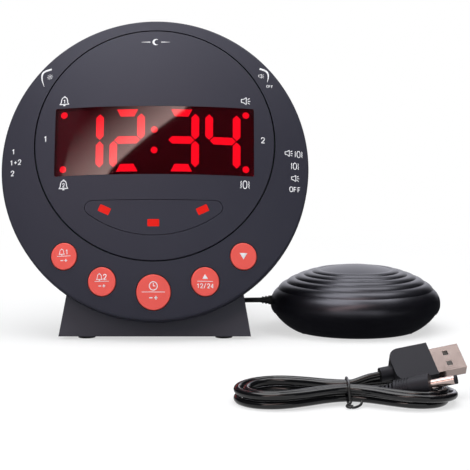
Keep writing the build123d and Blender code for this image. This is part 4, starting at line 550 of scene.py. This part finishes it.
def cord_curve(name, points, radius, finish_name):
    """A round cord along a quadratic NURBS line with these control points in millimetres."""
    curve = bpy.data.curves.new(name, "CURVE")
    curve.dimensions = "3D"
    curve.bevel_depth = radius * MM
    curve.bevel_resolution = BEVEL_STEPS
    curve.resolution_u = SPAN_STEPS
    curve.use_fill_caps = True
    spline = curve.splines.new("NURBS")
    spline.points.add(len(points) - 1)
    places = np.concatenate([np.asarray(points) * MM, np.ones((len(points), 1))], axis=1)
    spline.points.foreach_set("co", places.ravel())
    spline.order_u = QUADRATIC_ORDER
    spline.use_endpoint_u = True
    curve.materials.append(FINISHES[finish_name].owner)
    made = show(name, curve)
    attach(made, "base")
    print(name, len(points), "control points")
    return made


coil_route = coil_points(COIL_POINTS_PER_TURN)
route = np.concatenate([[BOOT_TIP], CORD_OUT, coil_route, CORD_BACK, CORD_INTO_PLUG])
shaker_cord = cord_curve("shaker_cord_laid", route, CORD_RADIUS, "cord_black")
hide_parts("shaker_cord", "shaker_cord_coil", "shaker_cord_tail")

# %% [markdown]
# ## Power lead
# The lead lies as a hank of two lobes, drawn in to a waist by a wire tie. It could be drawn point by point,
# but a formula keeps its strands a step apart. Each loop runs a step outside the one before along the floor,
# and the last ones come back in on top. Both plugs point away from the waist.

# %% Power lead's hank
LEAD_RADIUS = 1.5
HANK_MIDDLE = np.array([82.0, -168.0])
HANK_LOBE, HANK_RIGHT_SHARE = 37.4, -0.044
HANK_WAIST, HANK_BELLY = 1.2, 46.0
HANK_STEP, HANK_RISE, HANK_LIFT = 3.6, 3.6, 1.2
HANK_TURNS = 3.5
HEADING_STEP = 1e-4


def hank_outline(angle):
    """The inner loop: a lobe to each side, as broad as the cosine's square times 1 less half of that."""
    c, s = np.cos(angle), np.sin(angle)
    swell = HANK_BELLY * c * c * (1 - c * c / 2)
    return np.stack([HANK_LOBE * (1 + HANK_RIGHT_SHARE * c) * c, s * (HANK_WAIST + swell)], axis=-1)


def hank_points(points_per_turn):
    """The hank: the loop moved out along its normal by a step a turn, and lifted where it crosses the tie."""
    turn = np.arange(0, HANK_TURNS * points_per_turn + 1) / points_per_turn
    angle = -math.pi / 2 - 2 * math.pi * turn
    heading = hank_outline(angle - HEADING_STEP) - hank_outline(angle + HEADING_STEP)
    outward = np.stack([-heading[:, 1], heading[:, 0]], axis=1)
    outward /= np.linalg.norm(outward, axis=1, keepdims=True)
    middle = HANK_TURNS / 2
    steps = middle - np.abs(turn - middle)
    flat = HANK_MIDDLE + hank_outline(angle) + outward * (HANK_STEP * steps)[:, None]
    climb = ease((turn - middle) / CLIMB_TURNS + 0.5)
    height = LEAD_RADIUS + HANK_LIFT * np.sin(angle) ** 2 + HANK_RISE * climb
    return np.concatenate([flat, height[:, None]], axis=1)


print("hank of", HANK_TURNS, "loops")

# %% Lay the power lead
HANK_POINTS_PER_TURN = 24
HANK_ORIGIN = np.array([*HANK_MIDDLE, 0.0])
PLUG_LEAVE = np.array([[0.0], [3.0], [5.0]])
USB_START, USB_YAW, USB_PITCH = (13.0, 4.0, 9.8), 12.0, 9.0
BARREL_START, BARREL_YAW, BARREL_PITCH = (11.0, -2.9, 3.4), -16.0, 14.0


def plug_axis(start, yaw, pitch):
    """Where a plug's sleeve begins, and the way that it points: turned by yaw, then lifted by pitch."""
    yaw, pitch = math.radians(yaw), math.radians(pitch)
    way = np.array([math.cos(yaw) * math.cos(pitch), math.sin(yaw) * math.cos(pitch), math.sin(pitch)])
    return HANK_ORIGIN + start, way


usb_start, usb_way = plug_axis(USB_START, USB_YAW, USB_PITCH)
barrel_start, barrel_way = plug_axis(BARREL_START, BARREL_YAW, BARREL_PITCH)
barrel_end = barrel_start - barrel_way * PLUG_LEAVE
usb_end = usb_start - usb_way * PLUG_LEAVE[::-1]
route = np.concatenate([barrel_end, hank_points(HANK_POINTS_PER_TURN), usb_end])
power_lead = cord_curve("power_lead_laid", route, LEAD_RADIUS, "lead_black")
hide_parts("power_lead")

# %% [markdown]
# ## Ties
# A thin coated wire holds the power lead at its waist, and its end is bent into a hook at the front. A woven
# strap holds the coil behind the clock. Both could be bevelled curves, but a strap's profile is flat and has
# to keep its side. So both are profiles carried along a path: a round one for the wire, and a flat one with
# round edges for the strap.


# %% Pieces from grids
def piece(name, grids, paint, body, tube=False):
    """One mesh object from grids of points in metres, riding on a body.

    A grid whose last row repeats its first is a closed band. A tube's columns run round, and it has caps on
    its ends unless it is a closed band.
    """
    points = []
    faces = []
    start = 0
    for grid in grids:
        band = np.allclose(grid[0], grid[-1])
        grid = grid[:-1] if band else grid
        rows, columns = grid.shape[:2]
        faces += grid_faces(rows, columns, start, band, tube).tolist()
        points.append(grid.reshape(-1, 3))
        first = list(range(start, start + columns))
        start += rows * columns
        if tube and not band:
            faces += [first, list(range(start - 1, start - 1 - columns, -1))]
    mesh = bpy.data.meshes.new(name)
    mesh.from_pydata(np.concatenate(points).tolist(), [], faces)
    mesh.polygons.foreach_set("use_smooth", np.full(len(faces), True))
    mesh.materials.append(paint.owner)
    made = show(name, mesh)
    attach(made, body)
    print(name, len(faces), "faces")
    return made


print("pieces take grids, a finish and a body to ride on")


# %% Profiles along paths
def rounded(points, closed=False, rounds=3):
    """Corner cutting: each run is kept from a quarter to three quarters, which tends to a quadratic curve."""
    path = np.asarray(points, float)
    for _ in range(rounds):
        ahead = np.roll(path, -1, axis=0)
        cut = np.stack([0.75 * path + 0.25 * ahead, 0.25 * path + 0.75 * ahead], axis=1)
        cut = cut.reshape(-1, path.shape[1])
        path = cut if closed else np.concatenate([path[:1], cut[:-2], path[-1:]])
    return np.concatenate([path, path[:1]]) if closed else path


def headings(path):
    """The way from each point's neighbour before to the one after, also across a closed path's seam."""
    heading = np.gradient(path, axis=0)
    if np.allclose(path[0], path[-1]):
        heading[0] = heading[-1] = heading[0] + heading[-1]
    return heading


def swept(path, profile, sideways):
    """Each point of the path, plus the profile's first part along its normal and the second sideways."""
    heading = headings(path)
    normal = np.cross(heading, sideways)
    normal /= np.linalg.norm(normal, axis=1, keepdims=True)
    flank = np.cross(normal, heading)
    flank /= np.linalg.norm(flank, axis=1, keepdims=True)
    grid = normal[:, None, :] * profile[None, :, :1] + flank[:, None, :] * profile[None, :, 1:]
    return path[:, None, :] + grid


def oval(half_height, half_width, steps, power=1.0):
    """A closed oval from a cosine and a sine; a power under 1 fills its corners."""
    angle = np.arange(steps) * 2 * math.pi / steps
    c, s = np.cos(angle), np.sin(angle)
    tall = half_height * np.sign(c) * np.abs(c) ** power
    wide = half_width * np.sign(s) * np.abs(s) ** power
    return np.stack([tall, wide], axis=1)


print("three runs with their corners cut have", len(rounded(np.eye(4))), "points")

# %% Wire tie
WIRE_RADIUS, WIRE_SIDES = 0.5, 12
WIRE_LOOP = [
    (1.2, -12.6, 0.9), (-0.6, -11.0, 1.2), (0.0, -9.0, 0.8), (0, -6.0, 0.5), (0, 6.0, 0.5), (0, 9.0, 0.9),
    (0, 9.2, 6.9), (0, 7.2, 8.6), (0, -7.2, 8.6), (0, -9.2, 7.0), (0.2, -9.5, 3.6), (0.9, -10.4, 1.8),
]
WIRE_HOOK = [
    (-0.6, -11.6, 1.4), (-1.3, -13.4, 0.9), (0.6, -15.2, 0.8), (2.8, -13.6, 0.8), (4.6, -11.2, 1.2),
    (5.0, -10.0, 2.4),
]

wire_path = rounded(WIRE_LOOP + WIRE_HOOK) + HANK_ORIGIN
wire = swept(wire_path, oval(WIRE_RADIUS, WIRE_RADIUS, WIRE_SIDES), np.array([1.0, 0.0, 0.0]))
hank_tie = piece("hank_tie_wire", [wire * MM], FINISHES["tie_black"], "base", tube=True)
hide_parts("hank_tie")

# %% Strap round the coil
STRAP_NEAR, STRAP_MIDDLE, STRAP_FAR = 7.1, 14.0, 21.4
STRAP_LOW, STRAP_HALFWAY, STRAP_HIGH = 0.26, 6.0, 12.5
STRAP_WIDTH, STRAP_THICKNESS = 5.0, 0.5
STRAP_SIDES, STRAP_EDGE = 16, 0.35

strap_corners = [
    (STRAP_NEAR, 0.0, STRAP_LOW), (STRAP_MIDDLE, 0.0, STRAP_LOW), (STRAP_FAR, 0.0, STRAP_LOW),
    (STRAP_FAR, 0.0, STRAP_HALFWAY), (STRAP_FAR, 0.0, STRAP_HIGH), (STRAP_MIDDLE, 0.0, STRAP_HIGH),
    (STRAP_NEAR, 0.0, STRAP_HIGH), (STRAP_NEAR, 0.0, STRAP_HALFWAY),
]
strap_path = rounded(strap_corners, closed=True) + np.array([*COIL_MIDDLE, 0.0])
strap_profile = oval(STRAP_THICKNESS / 2, STRAP_WIDTH / 2, STRAP_SIDES, STRAP_EDGE)
strap = swept(strap_path, strap_profile, np.array([0.0, 1.0, 0.0]))
coil_tie = piece("coil_strap", [strap * MM], FINISHES["tie_black"], "base", tube=True)
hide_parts("coil_tie")

# %% The cords are laid
print("two cords laid")

# %% [markdown]
# ## Printed marks
# The face carries small white marks in ink, a few hundredths of a millimetre thick. An image would blur when
# one comes near, so each stroke is drawn as a ribbon: a path in the plane of the face, widened to both sides,
# and then lifted onto the dome. Solidify gives the ink its thickness.

# %% Onto the dome
FACE_LEAN = math.radians(17.5)
HEAD_RADIUS, DOME_RISE = 73.0, 14.5
HEAD_FRONT, HEAD_FOOT = -38.95, 10.78
HEAD_DEEP = HEAD_RADIUS * math.sin(FACE_LEAN) + HEAD_FRONT
HEAD_TALL = HEAD_RADIUS * math.cos(FACE_LEAN) + HEAD_FOOT
DOME_RADIUS = (HEAD_RADIUS**2 + DOME_RISE**2) / (2 * DOME_RISE)


def from_head(x, y, z):
    """Millimetres right, up the face and out of it, tipped back by the face's lean, as places in metres."""
    deep = HEAD_DEEP + y * math.sin(FACE_LEAN) - z * math.cos(FACE_LEAN)
    tall = HEAD_TALL + y * math.cos(FACE_LEAN) + z * math.sin(FACE_LEAN)
    return np.stack([x, deep, tall], axis=-1) * MM


def on_dome(flat, proud):
    """Points of the face's plane, carried out onto a ball that stands this far proud of the dome.

    The height is the root of the ball's radius squared less x and y squared, counted from the ball's middle.
    """
    x, y = flat[..., 0], flat[..., 1]
    height = DOME_RISE - DOME_RADIUS + np.sqrt((DOME_RADIUS + proud) ** 2 - x * x - y * y)
    return from_head(x, y, height)


print("the dome's ball has a radius of", round(DOME_RADIUS, 1), "mm")

# %% Strokes
STROKE_STEP = 0.35


def ribbon(points, width):
    """A path with even steps, widened by half of a width, or of widths along it, to both sides."""
    path = np.asarray(points, float)
    runs = np.linalg.norm(np.diff(path, axis=0), axis=1)
    travel = np.concatenate([[0.0], np.cumsum(runs)])
    even = np.linspace(0.0, travel[-1], max(3, int(travel[-1] / STROKE_STEP)))
    path = np.stack([np.interp(even, travel, path[:, axis]) for axis in (0, 1)], axis=1)
    heading = headings(path)
    side = np.stack([-heading[:, 1], heading[:, 0]], axis=1)
    side /= np.linalg.norm(side, axis=1, keepdims=True)
    half = np.interp(even, np.linspace(0, travel[-1], np.size(width)), np.atleast_1d(width)) / 2
    offsets = np.array([1.0, 0.0, -1.0])
    return path[:, None, :] + side[:, None, :] * half[:, None, None] * offsets[None, :, None]


def placed(grids, place, size=1.0):
    """Strokes made larger or smaller and moved to a place on the face."""
    return [grid * size + np.asarray(place) for grid in grids]


def together(signs):
    """The strokes of several signs, each with its place and, if it isn't 1, its size."""
    return [grid for sign in signs for grid in placed(*sign)]


print("a stroke 5 mm long has", len(ribbon([(0, 0), (5, 0)], 1.0)), "rows of points")

# %% Numerals and letters
ROUND_TWO = rounded([(0.03, 0.72), (0.05, 1.04), (0.57, 1.04), (0.6, 0.62), (0.03, 0.04)])
ROUND_O = rounded([(0.0, 0.0), (0.68, 0.0), (0.68, 1.04), (0.0, 1.04)], closed=True)
GLYPHS = {
    "1": [[(0.1, 0.76), (0.36, 1.0)], [(0.36, 1.04), (0.36, 0.0)]],
    "2": [ROUND_TWO, [(0.0, 0.04), (0.6, 0.04)]],
    "4": [[(0.46, 0.0), (0.46, 1.04)], [(0.46, 1.0), (0.0, 0.3)], [(0.0, 0.3), (0.64, 0.3)]],
    "+": [[(0.02, 0.5), (0.6, 0.5)], [(0.31, 0.2), (0.31, 0.8)]],
    "-": [[(0.02, 0.5), (0.6, 0.5)]],
    "/": [[(0.0, -0.08), (0.46, 1.08)]],
    "O": [ROUND_O],
    "F": [[(0.08, 0.0), (0.08, 1.0)], [(0.0, 1.0), (0.56, 1.0)], [(0.08, 0.52), (0.48, 0.52)]],
}
GLYPH_STEP, GLYPH_WIDTH = 0.86, 0.62


def words(text, height, weight=0.17):
    """A row of numerals or letters from strokes, centred on the origin."""
    width = (len(text) - 1) * GLYPH_STEP + GLYPH_WIDTH
    grids = []
    for place, letter in enumerate(text):
        shift = np.array([place * GLYPH_STEP - width / 2, -0.5])
        grids += [ribbon((np.asarray(path) + shift) * height, weight * height) for path in GLYPHS[letter]]
    return grids


print(len(GLYPHS), "numerals and letters")

# %% Signs of the alarms
SIGN_STROKE = 0.4


def ring(radius, steps=24):
    """A closed ring of points: the radius times the cosine and sine of even angles."""
    angle = np.linspace(0, 2 * math.pi, steps + 1)
    return radius * np.stack([np.cos(angle), np.sin(angle)], axis=1)


def bell(numeral=""):
    """A bell: a skirt that flares to its mouth, a ring on top and a clapper, with a numeral inside."""
    half = [(0.9, 1.9), (1.45, 0.5), (1.5, -1.0), (2.2, -1.7)]
    skirt = [(-x, y) for x, y in reversed(half)] + half
    grids = [ribbon(rounded(skirt), SIGN_STROKE), ribbon([(-2.3, -1.7), (2.3, -1.7)], SIGN_STROKE)]
    grids += [ribbon(ring(0.34) + (0, 2.15), 0.3), ribbon([(-0.6, -2.3), (0.6, -2.3)], [0.2, 0.6, 0.2])]
    return grids + placed(words(numeral, 1.7, weight=0.2), (0.0, -0.25))


def loudspeaker():
    """A cone with three rays."""
    cone = [(-2.2, -0.8), (-1.2, -0.8), (0.2, -1.8), (0.2, 1.8), (-1.2, 0.8), (-2.2, 0.8), (-2.2, -0.8)]
    rays = [[(0.9, 0.0), (2.1, 0.0)], [(0.8, 0.8), (1.8, 1.5)], [(0.8, -0.8), (1.8, -1.5)]]
    return [ribbon(run, SIGN_STROKE) for run in [*zip(cone, cone[1:]), *rays]]


def shaking():
    """An upright oblong with a zigzag to each side."""
    oblong = rounded([(-0.9, -1.8), (0.9, -1.8), (0.9, 1.8), (-0.9, 1.8)], closed=True, rounds=2)
    zigzag = np.array([(1.6, 1.7), (2.1, 1.0), (1.6, 0.35), (2.1, -0.35), (1.6, -1.0), (2.1, -1.7)])
    lines = [rounded(zigzag * (side, 1), rounds=2) for side in (-1, 1)]
    return [ribbon(oblong, SIGN_STROKE), *[ribbon(line, 0.36) for line in lines]]


print("a bell with a numeral has", len(bell("1")), "strokes")


# %% Signs of the light and the time
def sun():
    """A ring with eight rays."""
    angles = np.arange(8) * math.pi / 4
    ways = np.stack([np.cos(angles), np.sin(angles)], axis=1)
    return [ribbon(ring(0.75), 0.32), *[ribbon([way * 1.2, way * 1.9], 0.3) for way in ways]]


def moon():
    """A crescent: an arc that is widest in its middle."""
    angle = np.radians(np.linspace(60, 300, 25))
    arc = 1.35 * np.stack([np.cos(angle), np.sin(angle)], axis=1)
    return [ribbon(arc, [0.05, 0.75, 1.0, 0.75, 0.05])]


def dial():
    """A clock face with two hands."""
    hands = [[(0.0, -0.1), (0.0, 1.15)], [(-0.1, 0.0), (0.85, 0.0)]]
    return [ribbon(ring(1.7, 32), 0.36), *[ribbon(hand, 0.34) for hand in hands]]


def arrow(way):
    """A filled triangle that points up or down: a stroke that narrows to its tip."""
    return [ribbon([(0, -1.2 * way), (0, 1.3 * way)], [3.2, 0.05])]


print("the sun has", len(sun()), "strokes")

# %% Print the plate
INK_LIFT, INK_THICKNESS = 0.015, 0.03
MOON_HEIGHT = 61.0
PLATE_SIGNS = [
    (bell("1"), (-42.9, 31.0)), (bell("2"), (-42.4, -10.3)),
    (loudspeaker(), (43.2, 31.0)), (shaking(), (42.7, -10.2)),
    (words("1", 2.6), (-51.6, 12.4)), (words("2", 2.6), (51.2, 11.7)),
    (moon(), (0.4, MOON_HEIGHT), 1.1),
]


def printed(name, grids, body, proud=0.0):
    """Ink on the dome: the strokes' surfaces, given their thickness."""
    made = piece(name, [on_dome(grid, proud + INK_LIFT) for grid in grids], FINISHES["white_ink"], body)
    thick = made.modifiers.new("ink", "SOLIDIFY")
    thick.thickness = INK_THICKNESS * MM
    thick.offset = 1.0


moon_lines = [[(side * 2.6, MOON_HEIGHT), (side * 6.8, MOON_HEIGHT)] for side in (-1, 1)]
plate_strokes = together(PLATE_SIGNS) + [ribbon(line, [0.5, 0.12]) for line in moon_lines]
printed("plate_marks", plate_strokes, "snooze")

# %% Print the bezel
DIMMER_ARC = [(-49.9, 48.3), (-54.4, 47.2), (-54.7, 43.4), (-53.2, 39.3)]
VOLUME_ARC = [(49.8, 48.6), (53.4, 47.6), (54.2, 44.8), (53.4, 41.6)]
ARC_WIDTHS = [1.0, 1.0, 0.6, 0.12]
BEZEL_SIGNS = [
    (sun(), (-50.6, 44.2), 0.75), (loudspeaker(), (50.6, 44.7), 0.6), (words("OFF", 1.3), (54.6, 39.5)),
    (words("1", 2.3), (-67.2, 7.4)), (words("1+2", 2.3), (-66.0, 2.0)), (words("2", 2.3), (-67.4, -3.2)),
    (loudspeaker(), (63.6, 6.4), 0.85), (shaking(), (68.2, 6.2), 0.85), (shaking(), (66.4, 0.3), 0.85),
    (loudspeaker(), (66.6, -5.6), 0.85), (words("OFF", 2.2), (66.4, -11.0)),
]

arcs = [ribbon(rounded(arc), ARC_WIDTHS) for arc in (DIMMER_ARC, VOLUME_ARC)]
printed("bezel_marks", arcs + together(BEZEL_SIGNS), "base")

# %% Print the buttons
BUTTON_CIRCLE, BUTTON_PROUD = 60.4, 0.7
BUTTON_ANGLES = {"alarm_one": -44.0, "alarm_two": -23.5, "time": 0.0, "up": 23.5, "down": 44.0}
LEGENDS = {
    "alarm_one": [(bell(), (-1.0, 1.9), 0.62), (words("1", 2.0), (1.4, 1.8)), (words("-+", 2.2), (0, -2.0))],
    "alarm_two": [(bell(), (-1.1, 2.0), 0.66), (words("2", 2.2), (1.5, 1.9)), (words("-+", 2.3), (0, -2.1))],
    "time": [(dial(), (0, 2.7), 1.1), (words("-+", 2.8), (0, -2.6))],
    "up": [(arrow(1), (0, 2.1), 0.85), (words("12/24", 1.9), (0, -2.1))],
    "down": [(arrow(-1), (0, 0), 1.15)],
}
DIVIDER_HALVES = {"alarm_one": 3.2, "alarm_two": 3.4, "time": 5.4, "up": 3.6}
DIVIDER_WIDTH = 0.24

for body, angle in BUTTON_ANGLES.items():
    turn = math.radians(angle - 90)
    middle = BUTTON_CIRCLE * np.array([math.cos(turn), math.sin(turn)])
    strokes = placed(together(LEGENDS[body]), middle)
    if body in DIVIDER_HALVES:
        reach = (DIVIDER_HALVES[body], 0)
        strokes.append(ribbon([middle - reach, middle + reach], DIVIDER_WIDTH))
    printed(f"{body}_legend", strokes, body, BUTTON_PROUD)

# %% [markdown]
# ## Springs under the plate
# Two coil springs push the face plate out again after a press, and get shorter as the plate goes down. Here
# they stand at their full height, as two wire coils swept along a helix.

# %% Snooze springs
SPRING_ACROSS, SPRING_UP, SPRING_FOOT = 29.99, 50.01, -9.65
SPRING_HEIGHT, SPRING_TURNS = 11.16, 4
SPRING_RADIUS, SPRING_WIRE = 2.6, 0.7
SPRING_STEPS, SPRING_SIDES = 24, 8


def helix(radius, height, turns, steps):
    """A line that goes round at one distance from its axis while it climbs evenly."""
    share = np.linspace(0.0, 1.0, steps * turns + 1)
    angle = 2 * math.pi * turns * share
    return np.stack([radius * np.cos(angle), radius * np.sin(angle), height * share], axis=1)


coil_line = helix(SPRING_RADIUS, SPRING_HEIGHT, SPRING_TURNS, SPRING_STEPS)
spring_profile = oval(SPRING_WIRE / 2, SPRING_WIRE / 2, SPRING_SIDES)
coil = swept(coil_line, spring_profile, np.array([0.0, 0.0, 1.0]))
coil_x, coil_y, coil_z = np.moveaxis(coil + (0.0, SPRING_UP, SPRING_FOOT), -1, 0)
coils = [from_head(coil_x + side * SPRING_ACROSS, coil_y, coil_z) for side in (-1, 1)]
springs = piece("snooze_spring_coils", coils, FINISHES["steel"], "base", tube=True)
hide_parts("snooze_springs")
spring_foot = from_head(0.0, SPRING_UP, SPRING_FOOT)
spring_way = from_head(0.0, SPRING_UP, 0.0) - spring_foot
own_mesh(springs)
